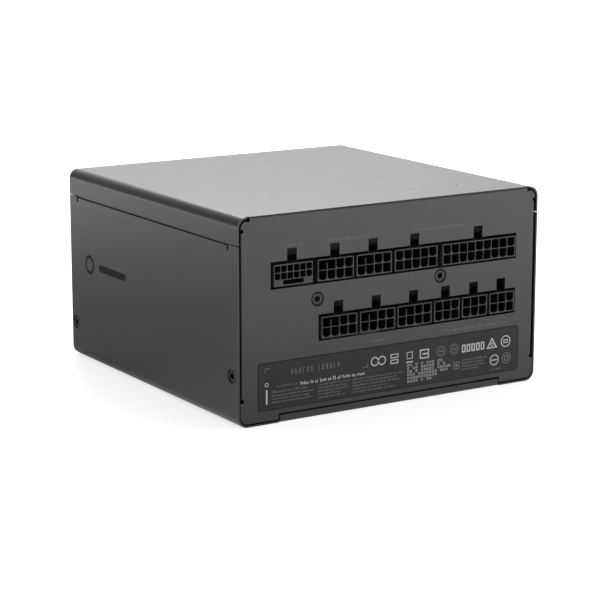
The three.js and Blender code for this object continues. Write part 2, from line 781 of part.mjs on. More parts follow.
// About the inlet's centre, with y = 0 at the panel's outer face and +Y outwards.
function inletBody() {
  const recess = { half: 12.1, low: -8.1, high: 8.1, corner: 4.5, depth: 17 };
  const floor = INLET_PROUD - recess.depth;
  const mouth = [
    [-recess.half, recess.low],
    [recess.half, recess.low],
    [recess.half, recess.high - recess.corner],
    [recess.half - recess.corner, recess.high],
    [recess.corner - recess.half, recess.high],
    [-recess.half, recess.high - recess.corner],
  ];
  const flange = prism("xz", roundedRectangle(-24.5, 24.5, -12, 12, 4), 0.1, INLET_PROUD);
  const body = prism("xz", roundedRectangle(-13.8, 13.8, -9.8, 9.8, 1.5), -22, 0.3);
  const slots = INLET_PINS.map(({ x, z }) =>
    block(x - 1.3, x + 1.3, -23, 0, z - 2.3, z + 2.3),
  );
  const screwHoles = [-1, 1].map((side) => {
    const section = [[0, 3], [4, 3], [4, 0], [SCREW_HEAD + GAP, 0], [1.5, -1.45], [1.5, -6], [0, -6]];
    return turned(section, COARSE, Y, [side * INLET_SCREW_X, INLET_PROUD, 0]);
  });
  return cut(
    joined(flange, body),
    prism("xz", mouth, floor, INLET_PROUD + 1),
    ...slots,
    ...screwHoles,
  );
}

function addInlet() {
  const inlet = subGroup(INLET_X, HALF_DEPTH, INLET_Z);
  addPiece("ac_inlet", inletBody(), "black_plastic", inlet);
  for (const { name, x, z } of INLET_PINS) {
    addPiece(name, block(x - 1, x + 1, -28, -3.1, z - 2, z + 2), "bright_steel", inlet);
  }
  const geometry = geometryOf(screw(SCREW_HEAD, SCREW_SHANK, 7));
  for (const [hand, side] of [["left", -1], ["right", 1]]) {
    const spot = [INLET_X + side * INLET_SCREW_X, HALF_DEPTH + INLET_PROUD - 0.05, INLET_Z];
    addScrew(`inlet_screw_${hand}`, geometry, spot, Y);
  }
}

// About the switch's centre, with y = 0 at the panel's outer face and +Y outwards.
function switchHousing() {
  const pivotBore = circle(ROCKER_PIVOT_Y, 0, 1.2 + BEARING_CLEARANCE, ROUND);
  return cut(
    joined(
      prism("xz", roundedRectangle(-7.8, 7.8, -11, 11, 1.2), 0.1, 1.3),
      prism("xz", rectangle(-6.7, 6.7, -9.6, 9.6), -15, 0.3),
    ),
    block(-5.6, 5.6, -13.5, 2, -8.5, 8.5),
    prism("yz", pivotBore, -10, 10),
  );
}

// The rocker about its pivot, level. Its face has two halves that slope up to the ends.
function switchRocker() {
  const section = [
    [4.6, -7.2],
    [3.4, 0],
    [4.6, 7.2],
    [1.5, 7.6],
    [-3, 3.5],
    [-3, -3.5],
    [1.5, -7.6],
  ];
  const stub = prism("yz", circle(0, 0, 1.2, ROUND), -6.5, 6.5);
  return joined(prism("yz", section, -5.2, 5.2), stub);
}

function addSwitch() {
  const group = subGroup(SWITCH_X, HALF_DEPTH, SWITCH_Z);
  addPiece("switch_housing", switchHousing(), "black_plastic", group);
  const rocker = addPiece("switch_rocker", switchRocker(), "black_plastic", group);
  rocker.position.y = ROCKER_PIVOT_Y;
  rocker.rotation.x = THREE.MathUtils.degToRad(-ROCKER_TILT);
}

// ---------------------------------------------------------------- what hangs inside

function mainBoard() {
  const top = BOARD_Z + BOARD_THICKNESS;
  const holes = STANDOFFS.map(([x, y]) => circle(x, y, 1.7, COARSE));
  return prism("xy", roundedRectangle(-69, 69, -60, 71, 2), BOARD_Z, top, holes);
}

function insulationSheet() {
  const holes = STANDOFFS.map(([x, y]) => circle(x, y, 3.4, COARSE));
  return prism("xy", roundedRectangle(-70, 70, -61, 72, 2), 82, 82.4, holes);
}

function standoff() {
  return prism("xy", hexagon(0, 0, 3), BOARD_Z + BOARD_THICKNESS + 0.1, HEIGHT - SHEET - 0.1);
}

// A finned plate that stands down from the board.
function heatsink(x, y, length, height) {
  const hang = BOARD_Z - GAP;
  const plate = block(x - 1.5, x + 1.5, y - length / 2, y + length / 2, hang - height, hang);
  const fins = [0.15, 0.4, 0.65, 0.9].map((share) => {
    const z = hang - height * share;
    return block(x - 1, x + 9, y - length / 2, y + length / 2, z - 1, z + 1);
  });
  return joined(plate, ...fins);
}

// A wound ring core that stands on its edge under the board.
function ringChoke(x, y, outer, inner, width) {
  const bevel = 2;
  const half = width / 2;
  const section = [
    [inner, bevel - half],
    [inner + bevel, -half],
    [outer - bevel, -half],
    [outer, bevel - half],
    [outer, half - bevel],
    [outer - bevel, half],
    [inner + bevel, half],
    [inner, half - bevel],
  ];
  return turned(section, ROUND, Y, [x, y, BOARD_Z - GAP - outer]);
}

function transformer(x, y, width, length, height) {
  const top = BOARD_Z - GAP;
  const core = joined(
    block(x - width / 2, x + width / 2, y - length / 2, y + length / 2, top - height, top - height + 7),
    block(x - width / 2, x + width / 2, y - length / 2, y + length / 2, top - 8, top - 1),
    block(x - width / 2, x - width / 2 + 6, y - length / 2, y + length / 2, top - height, top - 1),
    block(x + width / 2 - 6, x + width / 2, y - length / 2, y + length / 2, top - height, top - 1),
  );
  const coil = block(
    x - width / 2 + 5,
    x + width / 2 - 5,
    y - length / 2 - 4,
    y + length / 2 + 4,
    top - height + 6,
    top,
  );
  return core.add(coil);
}

// A can with a bevelled rim and the groove near its foot.
function capacitor(x, y, radius, height) {
  const top = BOARD_Z - GAP;
  const section = [
    [0, top - height],
    [radius - 1, top - height],
    [radius, top - height + 1],
    [radius, top - 4],
    [radius - 0.8, top - 3],
    [radius, top - 2],
    [radius, top],
    [0, top],
  ];
  return turned(section, ROUND, Z, [x, y, 0]);
}

function converterBoard() {
  const top = BOARD_Z - GAP;
  const modules = [-34, -12, 10, 32].map((x) => block(x, x + 14, -49.4, -42, top - 24, top - 12));
  return joined(block(-42, 52, -51, -49.2, top - 34, top), ...modules);
}

// A bar that carries current from the main board down to the modular board.
function busBar(x) {
  const top = BOARD_Z - GAP;
  return joined(
    block(x - 6, x + 6, -59.5, -58, top - 26, top),
    block(x - 6, x + 6, -59.5, -52.5, top - 2, top),
  );
}

function addInsides() {
  const top = BOARD_Z - GAP;
  addPiece("modular_board", modularBoard(), "circuit_board");
  addPiece("main_board", mainBoard(), "circuit_board");
  addPiece("insulation_sheet", insulationSheet(), "clear_sheet");
  STANDOFFS.forEach(([x, y], i) => {
    addPiece(`board_standoff_${i + 1}`, standoff(), "brass").position.set(x, y, 0);
  });
  addPiece("bulk_capacitor", capacitor(-42, 22, 17.5, 46), "capacitor_sleeve");
  addPiece("output_capacitor_1", capacitor(12, -34, 5, 20), "capacitor_sleeve");
  addPiece("output_capacitor_2", capacitor(24, -34, 5, 20), "capacitor_sleeve");
  addPiece("main_transformer", transformer(20, 2, 40, 32, 38), "ferrite");
  addPiece("standby_transformer", transformer(54, -28, 18, 16, 20), "ferrite");
  addPiece("pfc_choke", ringChoke(-40, -24, 19, 9, 18), "copper");
  addPiece("common_mode_choke", ringChoke(-2, 50, 12, 5, 14), "copper");
  addPiece("x_capacitor", block(-60, -34, 58, 68, top - 16, top), "capacitor_sleeve");
  addPiece("bridge_rectifier", block(18, 40, 56, 60, top - 20, top), "black_plastic");
  addPiece("primary_heatsink", heatsink(-14, 0, 44, 40), "aluminium");
  addPiece("secondary_heatsink", heatsink(50, 14, 46, 40), "aluminium");
  addPiece("converter_board", converterBoard(), "circuit_board");
  addPiece("bus_bar_positive", busBar(-20), "copper");
  addPiece("bus_bar_ground", busBar(28), "copper");
}

// ---------------------------------------------------------------- the whole unit

addPiece("upper_shell", upperShell(), "black_steel");
addPiece("lower_shell", lowerShell(), "black_steel");
addPiece("rating_label", ratingLabel(), "label_film");
addCaseScrews();
addSockets();
addInlet();
addSwitch();
addFan();
addInsides();

export default unit;
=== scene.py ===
"""The looks of a modular computer power supply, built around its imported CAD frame.

The connector panel faces -Y, the mains inlet faces +Y and the fan faces down. Outlines and
sizes are in millimetres; mesh_piece() turns them into the metres that the frame is in.
"""

import json
import math
import random

import bmesh
import bpy
from mathutils import Matrix, Vector
from mathutils.geometry import delaunay_2d_cdt


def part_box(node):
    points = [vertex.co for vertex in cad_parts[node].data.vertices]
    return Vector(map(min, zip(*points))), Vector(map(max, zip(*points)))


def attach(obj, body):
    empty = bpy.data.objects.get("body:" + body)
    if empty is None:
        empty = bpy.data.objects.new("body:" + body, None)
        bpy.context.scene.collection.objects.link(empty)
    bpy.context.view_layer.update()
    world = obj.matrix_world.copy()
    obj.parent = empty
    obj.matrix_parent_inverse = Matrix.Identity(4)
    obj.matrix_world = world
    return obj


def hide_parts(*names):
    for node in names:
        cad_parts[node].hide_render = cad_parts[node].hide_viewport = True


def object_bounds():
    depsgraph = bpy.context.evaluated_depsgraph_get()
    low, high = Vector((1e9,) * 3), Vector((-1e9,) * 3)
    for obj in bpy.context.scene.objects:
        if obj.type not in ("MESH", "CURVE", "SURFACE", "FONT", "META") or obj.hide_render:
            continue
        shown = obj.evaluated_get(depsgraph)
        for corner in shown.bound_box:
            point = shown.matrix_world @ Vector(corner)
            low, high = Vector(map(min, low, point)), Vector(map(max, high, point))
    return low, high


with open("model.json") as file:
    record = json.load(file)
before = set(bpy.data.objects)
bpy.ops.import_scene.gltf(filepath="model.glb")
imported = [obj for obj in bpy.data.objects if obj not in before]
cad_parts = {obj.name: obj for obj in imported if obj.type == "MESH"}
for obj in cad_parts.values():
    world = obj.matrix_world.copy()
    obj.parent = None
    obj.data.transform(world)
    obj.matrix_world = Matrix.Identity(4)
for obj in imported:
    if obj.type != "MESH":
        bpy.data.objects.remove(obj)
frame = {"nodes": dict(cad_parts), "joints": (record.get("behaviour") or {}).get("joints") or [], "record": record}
cad_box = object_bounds()

# ------------------------------------------------------------------ driving dimensions

MM = 0.001


def box_mm(node):
    """The lowest and highest corner of a CAD node, in millimetres."""
    low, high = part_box(node)
    return low / MM, high / MM


def middle_mm(node):
    low, high = box_mm(node)
    return Vector([(low[axis] + high[axis]) / 2 for axis in range(3)])


UPPER_LOW, UPPER_HIGH = box_mm("upper_shell")
HALF_WIDTH = UPPER_HIGH.x
HALF_DEPTH = UPPER_HIGH.y
HEIGHT = UPPER_HIGH.z
SHEET = 0.8
LONG_BEND = 4.4
SHORT_BEND = 1.0
SIDE_BEND = 1.0
BEND_STEPS = 8
BEND_X = HALF_WIDTH - LONG_BEND
END_Y = HALF_DEPTH - SHORT_BEND
PANEL_BOTTOM = UPPER_LOW.z + 0.3
PANEL_EDGE = HALF_WIDTH - 1.7
PANEL_FOOT = HALF_WIDTH - 1.1
PANEL_HEAD = HALF_WIDTH - 1.65
PANEL_BEND_X = PANEL_EDGE - SIDE_BEND
NOTCH_X = HALF_WIDTH - 2.8
NOTCH = 1.4
LOW_NOTCH_Z = 11.05
HIGH_NOTCH_Z = 80.35
CORNER_RELIEF = 0.3
TOP_SPAN = BEND_X - NOTCH
FLANGE_LENGTH = 12
LIP_HALF = 55.4
LIP_TOP = 3.1
LIP_CORNER = 0.5
LIP_GAP = 0.5
SEAM_Z = 74.3
SEAM_GAP = 0.8
WALL_TOP = SEAM_Z - SEAM_GAP / 2
TICK_Y = 67.2
TICK_WIDTH = 1.3
TICK_DEPTH = 1.8
MOUTH_RADIUS = 3.0
COUNTERSINK_DEPTH = 1.3
EDGE_ROUNDING = 0.13
ROUND_SIDES = 32
FINE_SIDES = 96
MERGE = 0.002
FINE_MERGE = 0.0005


# ------------------------------------------------------------------ outlines


def arc(u, v, radius, start, end, count):
    """Points on an arc, from one angle to another in degrees."""
    turns = [math.radians(start + (end - start) * i / count) for i in range(count + 1)]
    return [(u + radius * math.cos(t), v + radius * math.sin(t)) for t in turns]


def circle(u, v, radius, sides=ROUND_SIDES):
    return arc(u, v, radius, 0, 360, sides)[:-1]


def rectangle(u0, u1, v0, v1):
    return [(u0, v0), (u1, v0), (u1, v1), (u0, v1)]


def centred(u, v, half_u, half_v):
    """The four sides of a rectangle about a centre, in the order that outlines take them."""
    return u - half_u, u + half_u, v - half_v, v + half_v


def rounded_rectangle(u0, u1, v0, v1, radius, count=4):
    corners = [(u1, v0, -90), (u1, v1, 0), (u0, v1, 90), (u0, v0, 180)]
    points = []
    for u, v, start in corners:
        centre_u = u - math.copysign(radius, u - (u0 + u1) / 2)
        centre_v = v - math.copysign(radius, v - (v0 + v1) / 2)
        points += arc(centre_u, centre_v, radius, start, start + 90, count)
    return points


def inset(outline, amount):
    """A convex outline, counter-clockwise, moved inwards by an even amount."""
    points = []
    for i, (u, v) in enumerate(outline):
        before = Vector((u, v)) - Vector(outline[i - 1])
        after = Vector(outline[(i + 1) % len(outline)]) - Vector((u, v))
        normals = [Vector((-side.y, side.x)).normalized() for side in (before, after)]
        middle = (normals[0] + normals[1]).normalized()
        reach = amount / max(0.3, middle.dot(normals[0]))
        points.append((u + middle.x * reach, v + middle.y * reach))
    return points


def mirrored(outline):
    """The outline on the other side of u = 0, in reverse order."""
    return [(-u, v) for u, v in reversed(outline)]


# ------------------------------------------------------------------ mesh building


def plane_xy(depth):
    return lambda u, v: (u, v, depth)


def plane_xz(depth):
    return lambda u, v: (u, depth, v)


def plane_yz(depth):
    return lambda u, v: (depth, u, v)


def inside(point, loop):
    """Whether a flat point lies inside a closed loop."""
    u, v = point
    crossed = False
    for i, (u1, v1) in enumerate(loop):
        u0, v0 = loop[i - 1]
        if (v0 > v) != (v1 > v) and u < (u1 - u0) * (v - v0) / (v1 - v0) + u0:
            crossed = not crossed
    return crossed


def add_plate(mesh, place, outline, holes=(), paint=0):
    """Fills an outline, less its holes, with flat faces."""
    loops = [list(outline), *[list(hole) for hole in holes]]
    points = [Vector(point) for loop in loops for point in loop]
    edges = []
    for loop in loops:
        start = len(edges)
        edges += [(start + i, start + (i + 1) % len(loop)) for i in range(len(loop))]
    flat, _, triangles, *_ = delaunay_2d_cdt(points, edges, [], 1, 1e-5)
    corners = [mesh.verts.new(place(point.x, point.y)) for point in flat]
    for triangle in triangles:
        centre = sum((flat[i] for i in triangle), Vector((0, 0))) / 3
        if inside(centre, loops[0]) and not any(inside(centre, hole) for hole in loops[1:]):
            mesh.faces.new([corners[i] for i in triangle]).material_index = paint


def add_strip(mesh, rows, closed=False, paint=0):
    """Joins rows of points, each with the same number of them, with four-sided faces."""
    grid = [[mesh.verts.new(point) for point in row] for row in rows]
    for near, far in zip(grid, grid[1:]):
        count = len(near)
        for i in range(count if closed else count - 1):
            j = (i + 1) % count
            mesh.faces.new((near[i], near[j], far[j], far[i])).material_index = paint


def add_fold(mesh, plane, profile, stations):
    """An open profile drawn out through stations along the plane's own axis."""
    add_strip(mesh, [[plane(at)(u, v) for u, v in profile] for at in stations])


def add_sides(mesh, plane, steps, paint=0):
    """The walls through a stack of closed outlines: (outline, depth) pairs."""
    rows = [[plane(depth)(u, v) for u, v in outline] for outline, depth in steps]
    add_strip(mesh, rows, closed=True, paint=paint)


def add_prism(mesh, plane, outline, low, high, holes=(), paint=0):
    """A closed solid with straight walls and holes right through it."""
    for depth in (low, high):
        add_plate(mesh, plane(depth), outline, holes, paint)
    for loop in (outline, *holes):
        add_sides(mesh, plane, [(loop, low), (loop, high)], paint)


def add_stepped(mesh, plane, steps, paint=0):
    """A closed solid through outlines with equal point counts: (outline, depth) pairs."""
    for outline, depth in (steps[0], steps[-1]):
        add_plate(mesh, plane(depth), outline, paint=paint)
    add_sides(mesh, plane, steps, paint)


def add_capped(mesh, rows):
    """A closed tube through rows of points, with a face at each end."""
    add_strip(mesh, rows, closed=True)
    for row in (rows[0], rows[-1]):
        mesh.faces.new([mesh.verts.new(point) for point in row])


def add_turned(mesh, section, sides, turn=Matrix()):
    """A solid of revolution about Z. A section starts and ends on the axis or closes on itself."""
    angles = [2 * math.pi * i / sides for i in range(sides)]
    rows = []
    for radius, height in section:
        ring = [(radius * math.cos(a), radius * math.sin(a), height) for a in angles]
        rows.append([turn @ Vector(point) for point in ring])
    add_strip(mesh, rows, closed=True)


def clean(mesh, merge=MERGE, join_flat=True):
    """Merges the corners that meet, drops what has no area and joins flat neighbours."""
    bmesh.ops.remove_doubles(mesh, verts=mesh.verts, dist=merge)
    bmesh.ops.dissolve_degenerate(mesh, edges=mesh.edges, dist=merge / 2)
    loose = [vert for vert in mesh.verts if not vert.link_faces]
    bmesh.ops.delete(mesh, geom=loose, context="VERTS")
    if join_flat:
        bmesh.ops.dissolve_limit(
            mesh,
            angle_limit=math.radians(0.2),
            verts=mesh.verts,
            edges=mesh.edges,
            delimit={"MATERIAL"},
        )
    bmesh.ops.recalc_face_normals(mesh, faces=mesh.faces)


def face_outwards(mesh, direction):
    """Turns an open net over if its face furthest along a direction looks the other way."""
    direction = Vector(direction)
    furthest = max(mesh.faces, key=lambda face: face.calc_center_median().dot(direction))
    if furthest.normal.dot(direction) < 0:
        bmesh.ops.reverse_faces(mesh, faces=mesh.faces)


def scene_mesh(name, mesh, materials):
    """Puts a mesh in millimetres into the scene as an object in metres."""
    bmesh.ops.scale(mesh, vec=(MM, MM, MM), verts=mesh.verts)
    data = bpy.data.meshes.new(name)
    mesh.to_mesh(data)
    mesh.free()
    made = bpy.data.objects.new(name, data)
    bpy.context.scene.collection.objects.link(made)
    for material in materials:
        data.materials.append(material)
    return made


def mesh_piece(name, mesh, materials, replaces=(), body="case"):
    """Turns a mesh in millimetres into a piece in metres that rides on a body."""
    piece = scene_mesh(name, mesh, materials)
    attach(piece, body)
    if replaces:
        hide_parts(*replaces)
    return piece


def settle(piece):
    """Pulls in the corners that a bevel pushed out of the CAD box, and drops what has no area."""
    mesh = bmesh.new()
    mesh.from_mesh(piece.data)
    for vert in mesh.verts:
        for axis in range(3):
            vert.co[axis] = min(max(vert.co[axis], cad_box[0][axis]), cad_box[1][axis])
    bmesh.ops.dissolve_degenerate(mesh, edges=mesh.edges, dist=0.001 * MM)
    mesh.to_mesh(piece.data)
    mesh.free()


def apply_modifiers(piece):
    bpy.context.view_layer.update()
    evaluated = piece.evaluated_get(bpy.context.evaluated_depsgraph_get())
    finished = bpy.data.meshes.new_from_object(evaluated)
    finished.name = piece.name
    piece.modifiers.clear()
    piece.data = finished


def soften(piece, width, sheet=0.0, angle=40, segments=2, miter="MITER_SHARP"):
    """Gives a net its thickness, rounds its sharp edges and evens out its shading."""
    if sheet:
        solid = piece.modifiers.new("thickness", "SOLIDIFY")
        solid.thickness = sheet * MM
        solid.offset = -1
        solid.use_even_offset = True
    if width:
        bevel = piece.modifiers.new("edges", "BEVEL")
        bevel.width = width * MM
        bevel.segments = segments
        bevel.limit_method = "ANGLE"
        bevel.angle_limit = math.radians(angle)
        bevel.use_clamp_overlap = False
        bevel.miter_outer = miter
        apply_modifiers(piece)
        settle(piece)
    even_shading(piece.data)


def even_shading(mesh, sharp=50):
    """Smooth shading, in which the widest flat stretch at a corner sets the direction there."""
    limit = math.cos(math.radians(sharp))
    keys = [tuple(round(part, 3) for part in polygon.normal) for polygon in mesh.polygons]
    spread = {}
    for key, polygon in zip(keys, mesh.polygons):
        spread[key] = spread.get(key, 0) + polygon.area
    around = [[] for _ in mesh.vertices]
    for key, polygon in zip(keys, mesh.polygons):
        weight = spread[key] ** 2
        normal = polygon.normal.copy()
        for corner in polygon.vertices:
            around[corner].append((normal, weight))
    directions = [None] * len(mesh.loops)
    for polygon in mesh.polygons:
        own = polygon.normal
        for loop in polygon.loop_indices:
            total = Vector((0, 0, 0))
            for normal, weight in around[mesh.loops[loop].vertex_index]:
                if normal.dot(own) > limit:
                    total += normal * weight
            directions[loop] = total.normalized() if total.length else own.copy()
    mesh.shade_smooth()
    mesh.normals_split_custom_set(directions)


def finished_piece(
    name, mesh, materials, slot, replaces, width, merge=MERGE, body="case", **softening
):
    """Cleans a mesh, makes it a piece and rounds its edges by that width."""
    clean(mesh, merge)
    piece = mesh_piece(name, mesh, materials, replaces, body)
    soften(piece, width, **softening)


# ------------------------------------------------------------------ materials


class Look:
    """A material on the principled shader, with short ways to add procedural detail."""

    def __init__(self, name, colour, roughness, metallic=0.0, specular=0.5):
        self.material = bpy.data.materials.new(name)
        self.material.use_nodes = True
        self.tree = self.material.node_tree
        self.shader = self.tree.nodes["Principled BSDF"]
        self.shader.inputs["Base Color"].default_value = (*colour, 1)
        self.shader.inputs["Roughness"].default_value = roughness
        self.shader.inputs["Metallic"].default_value = metallic
        self.shader.inputs["Specular IOR Level"].default_value = specular
        self.shader.inputs["IOR"].default_value = 1.5
        self.roughness = roughness
        self.place = self.node("ShaderNodeTexCoord").outputs["Object"]
        self.height = None

    def node(self, kind, **settings):
        node = self.tree.nodes.new(kind)
        for key, value in settings.items():
            setattr(node, key, value)
        return node

    def link(self, source, target):
        self.tree.links.new(source, target)

    def noise(self, size, detail, stretch=(1, 1, 1)):
        """Noise whose features are about that many millimetres across."""
        mapping = self.node("ShaderNodeMapping")
        mapping.inputs["Scale"].default_value = stretch
        self.link(self.place, mapping.inputs["Vector"])
        noise = self.node("ShaderNodeTexNoise")
        noise.inputs["Scale"].default_value = 1 / (size * MM)
        noise.inputs["Detail"].default_value = detail
        self.link(mapping.outputs["Vector"], noise.inputs["Vector"])
        return noise.outputs["Fac"]

    def cells(self, size, feature="F1"):
        """Rounded cells about that many millimetres across."""
        cells = self.node("ShaderNodeTexVoronoi", feature=feature)
        cells.inputs["Scale"].default_value = 1 / (size * MM)
        self.link(self.place, cells.inputs["Vector"])
        return cells.outputs["Distance"]

    def ranged(self, source, low, high, start=0.3, end=0.7):
        """The source's values from start to end, spread from low to high."""
        node = self.node("ShaderNodeMapRange")
        node.inputs["From Min"].default_value = start
        node.inputs["From Max"].default_value = end
        node.inputs["To Min"].default_value = low
        node.inputs["To Max"].default_value = high
        self.link(source, node.inputs["Value"])
        return node.outputs["Result"]

    def edges(self, width, sharpness=0.25):
        """1 along convex and concave edges, 0 on flat stretches."""
        rounded = self.node("ShaderNodeBevel", samples=4)
        rounded.inputs["Radius"].default_value = width * MM
        geometry = self.node("ShaderNodeNewGeometry")
        likeness = self.node("ShaderNodeVectorMath", operation="DOT_PRODUCT")
        self.link(rounded.outputs["Normal"], likeness.inputs[0])
        self.link(geometry.outputs["Normal"], likeness.inputs[1])
        return self.ranged(likeness.outputs["Value"], 1, 0, 1 - sharpness, 1)

    def tint(self, factor, colour):
        """Mixes another colour in where the factor is 1."""
        mix = self.node("ShaderNodeMix", data_type="RGBA")
        base = self.shader.inputs["Base Color"]
        if base.is_linked:
            self.link(base.links[0].from_socket, mix.inputs["A"])
        else:
            mix.inputs["A"].default_value = base.default_value
        mix.inputs["B"].default_value = (*colour, 1)
        self.link(factor, mix.inputs["Factor"])
        self.link(mix.outputs["Result"], base)

    def mottle(self, size, detail, amount, colour):
        """Soft patches of another colour."""
        self.tint(self.ranged(self.noise(size, detail), 0, amount), colour)

    def wear(self, width, size, detail, amounts, colour):
        """Another colour along the edges, broken up by noise."""
        product = self.node("ShaderNodeMath", operation="MULTIPLY")
        self.link(self.edges(width), product.inputs[0])
        self.link(self.ranged(self.noise(size, detail), *amounts), product.inputs[1])
        self.tint(product.outputs["Value"], colour)

    def roughen(self, size, detail, change):
        """Changes the roughness by up to an amount in soft patches."""
        patches = self.ranged(self.noise(size, detail), 0, 1)
        low, high = self.roughness, self.roughness + change
        self.link(self.ranged(patches, low, high, 0, 1), self.shader.inputs["Roughness"])

    def bump(self, source, depth):
        """Raises the surface by up to that many millimetres."""
        bump = self.node("ShaderNodeBump")
        bump.inputs["Distance"].default_value = depth * MM
        self.link(source, bump.inputs["Height"])
        if self.height is not None:
            self.link(self.height, bump.inputs["Normal"])
        self.height = bump.outputs["Normal"]
        self.link(self.height, self.shader.inputs["Normal"])

    def grain(self, size, detail, depth, stretch=(1, 1, 1)):
        self.bump(self.noise(size, detail, stretch), depth)


def grey(value):
    """A grey with the slight blue cast of black finishes."""
    return (value, value, value * 1.02)


def darker(colour, share):
    return tuple(channel * share for channel in colour)


def powder_paint():
    """Satin black powder coat on the folded steel: a fine orange peel and worn edges."""
    look = Look("satin_powder_coat", grey(0.011), 0.33)
    look.mottle(38, 3, 0.35, grey(0.016))
    look.wear(0.35, 2.2, 4, (0, 0.5), grey(0.1))
    look.roughen(7, 4, 0.022)
    look.bump(look.cells(0.5), 0.009)
    look.grain(0.9, 3, 0.006)
    return look.material


def moulded_plastic(name, value, roughness, grain=0.35, shine=0.5):
    look = Look(name, grey(value), roughness, specular=shine)
    look.mottle(9, 3, 0.5, grey(value * 1.35))
    look.wear(0.18, 1.2, 3, (0, 0.6), grey(0.08))
    look.roughen(5, 3, 0.12)
    look.grain(grain, 3, 0.014)
    return look.material


def metal(name, colour, roughness, brushed=(1, 1, 1)):
    look = Look(name, colour, roughness, metallic=1.0)
    look.mottle(3.5, 4, 0.8, darker(colour, 0.72))
    look.roughen(1.4, 3, 0.18)
    look.grain(0.5, 4, 0.012, brushed)
    return look.material


def black_zinc(name, value):
    look = Look(name, grey(value), 0.34, metallic=0.85)
    look.wear(0.15, 0.6, 3, (0.2, 1), grey(0.28))
    look.roughen(0.8, 3, 0.15)
    look.grain(0.3, 3, 0.01)
    return look.material


def guard_coat():
    """Black dip coat on the guard's wires."""
    look = Look("guard_coat", grey(0.02), 0.34)
    look.mottle(1.5, 4, 0.6, grey(0.04))
    look.roughen(4, 3, 0.12)
    look.grain(0.4, 3, 0.02)
    return look.material


def label_film():
    """Matt black polyester with a faint satin weave from its laminate."""
    look = Look("label_film", grey(0.012), 0.45, specular=0.24)
    look.mottle(14, 3, 0.5, grey(0.017))
    look.roughen(4, 3, 0.08)
    look.grain(0.35, 2, 0.006)
    return look.material


def ink(name, value, roughness=0.5, specular=0.5):
    """Printed ink, a little thin and broken at the scale of its own grain."""
    look = Look(name, grey(value), roughness, specular=specular)
    look.mottle(0.35, 3, 0.55, grey(value * 0.55))
    look.roughen(0.8, 2, 0.1)
    look.grain(0.25, 2, 0.003)
    return look.material


def circuit_board(name, mask, trace):
    """Solder mask over traces, with a weave from the glass cloth."""
    look = Look(name, mask, 0.32)
    look.tint(look.ranged(look.cells(3.5, "DISTANCE_TO_EDGE"), 0.8, 0, 0.02, 0.12), trace)
    look.mottle(12, 2, 0.4, darker(mask, 0.7))
    look.roughen(1.5, 3, 0.12)
    look.bump(look.cells(0.6), 0.012)
    return look.material


def wound_copper():
    """Enamelled wire in close turns."""
    look = Look("enamelled_copper", (0.42, 0.16, 0.06), 0.34, metallic=0.9)
    turns = look.node("ShaderNodeTexWave", wave_type="RINGS", rings_direction="SPHERICAL")
    turns.inputs["Scale"].default_value = 1 / (4 * MM)
    turns.inputs["Distortion"].default_value = 1.5
    look.link(look.place, turns.inputs["Vector"])
    look.tint(look.ranged(turns.outputs["Fac"], 0.8, 0, 0.1, 0.5), (0.16, 0.05, 0.02))
    look.roughen(2, 3, 0.2)
    look.bump(turns.outputs["Fac"], 0.12)
    return look.material


def sleeve(name, colour, roughness=0.35):
    """A shrunk film or moulded resin with soft waves and a few scuffs."""
    look = Look(name, colour, roughness)
    look.mottle(6, 4, 0.5, darker(colour, 0.6))
    look.roughen(2.5, 4, 0.2)
    look.grain(1.8, 3, 0.03)
    return look.material


PAINT = powder_paint()
SOCKET_PLASTIC = moulded_plastic("socket_nylon", 0.014, 0.42)
# Near-black plastic for the cells past their throats and for the latch ramps: painted shade.
DEEP_SHADE_PLASTIC = moulded_plastic("socket_deep_shade_nylon", 0.003, 0.6, shine=0.2)
DARK_PLASTIC = moulded_plastic("inlet_nylon", 0.014, 0.36)
ROCKER_PLASTIC = moulded_plastic("rocker_nylon", 0.016, 0.24, 0.6)
FAN_PLASTIC = moulded_plastic("fan_polyester", 0.018, 0.46)
SCREW_METAL = black_zinc("black_zinc", 0.038)
# Near-black zinc for the screws' recesses: painted shade.
RECESS_SHADE_METAL = black_zinc("recess_shade_zinc", 0.004)
FILM = label_film()
LABEL_INK = ink("label_ink", 0.13)
DENSE_INK = ink("dense_ink", 0.24)
BRIGHT_INK = ink("bright_ink", 0.42)
FAINT_INK = ink("faint_ink", 0.1)
# Near-black ink for the side mark, and for the line round the label's edge, which is a painted shadow.
MARK_AND_EDGE_SHADOW_INK = ink("side_mark_and_edge_shadow_ink", 0.006, 0.62, 0.2)
WHITE_INK = ink("switch_mark_ink", 0.6)
PIN_METAL = metal("tinned_brass", (0.62, 0.55, 0.4), 0.28)
# Near-black metal for the socket contacts: painted shade deep in the cells, not the colour of their tin.
SHADED_CONTACT_METAL = metal("contact_in_shade", (0.05, 0.045, 0.035), 0.45)
GUARD_METAL = guard_coat()


# ------------------------------------------------------------------ folded shells

SOCKET_ROWS = {
    "upper": [
        "socket_gpu_16_pin",
        "socket_power_8_pin_1",
        "socket_power_8_pin_2",
        "socket_board_10_pin",
        "socket_board_18_pin",
    ],
    "lower": [
        "socket_power_8_pin_3",
        "socket_power_8_pin_4",
        "socket_power_8_pin_5",
        "socket_drive_6_pin_1",
        "socket_drive_6_pin_2",
        "socket_drive_6_pin_3",
    ],
}
SOCKET_HEIGHT = 9.0
WINDOW_MARGIN = 1.0
SLOT_MARGIN = 0.1
PANEL_SCREWS = ["panel_screw_left", "panel_screw_right"]


def latch_slots(row):
    """The slots above the sockets for the plugs' latches: (left, right, top) from the record."""
    slots = []
    for opening in frame["record"]["physics"]["openings"]:
        if opening["name"].startswith(f"latch_slot_{row}"):
            (left, _, _), (right, _, top) = opening["box_m"]
            edges = (left / MM - SLOT_MARGIN, right / MM + SLOT_MARGIN, top / MM + SLOT_MARGIN)
            slots.append(edges)
    return sorted(slots)


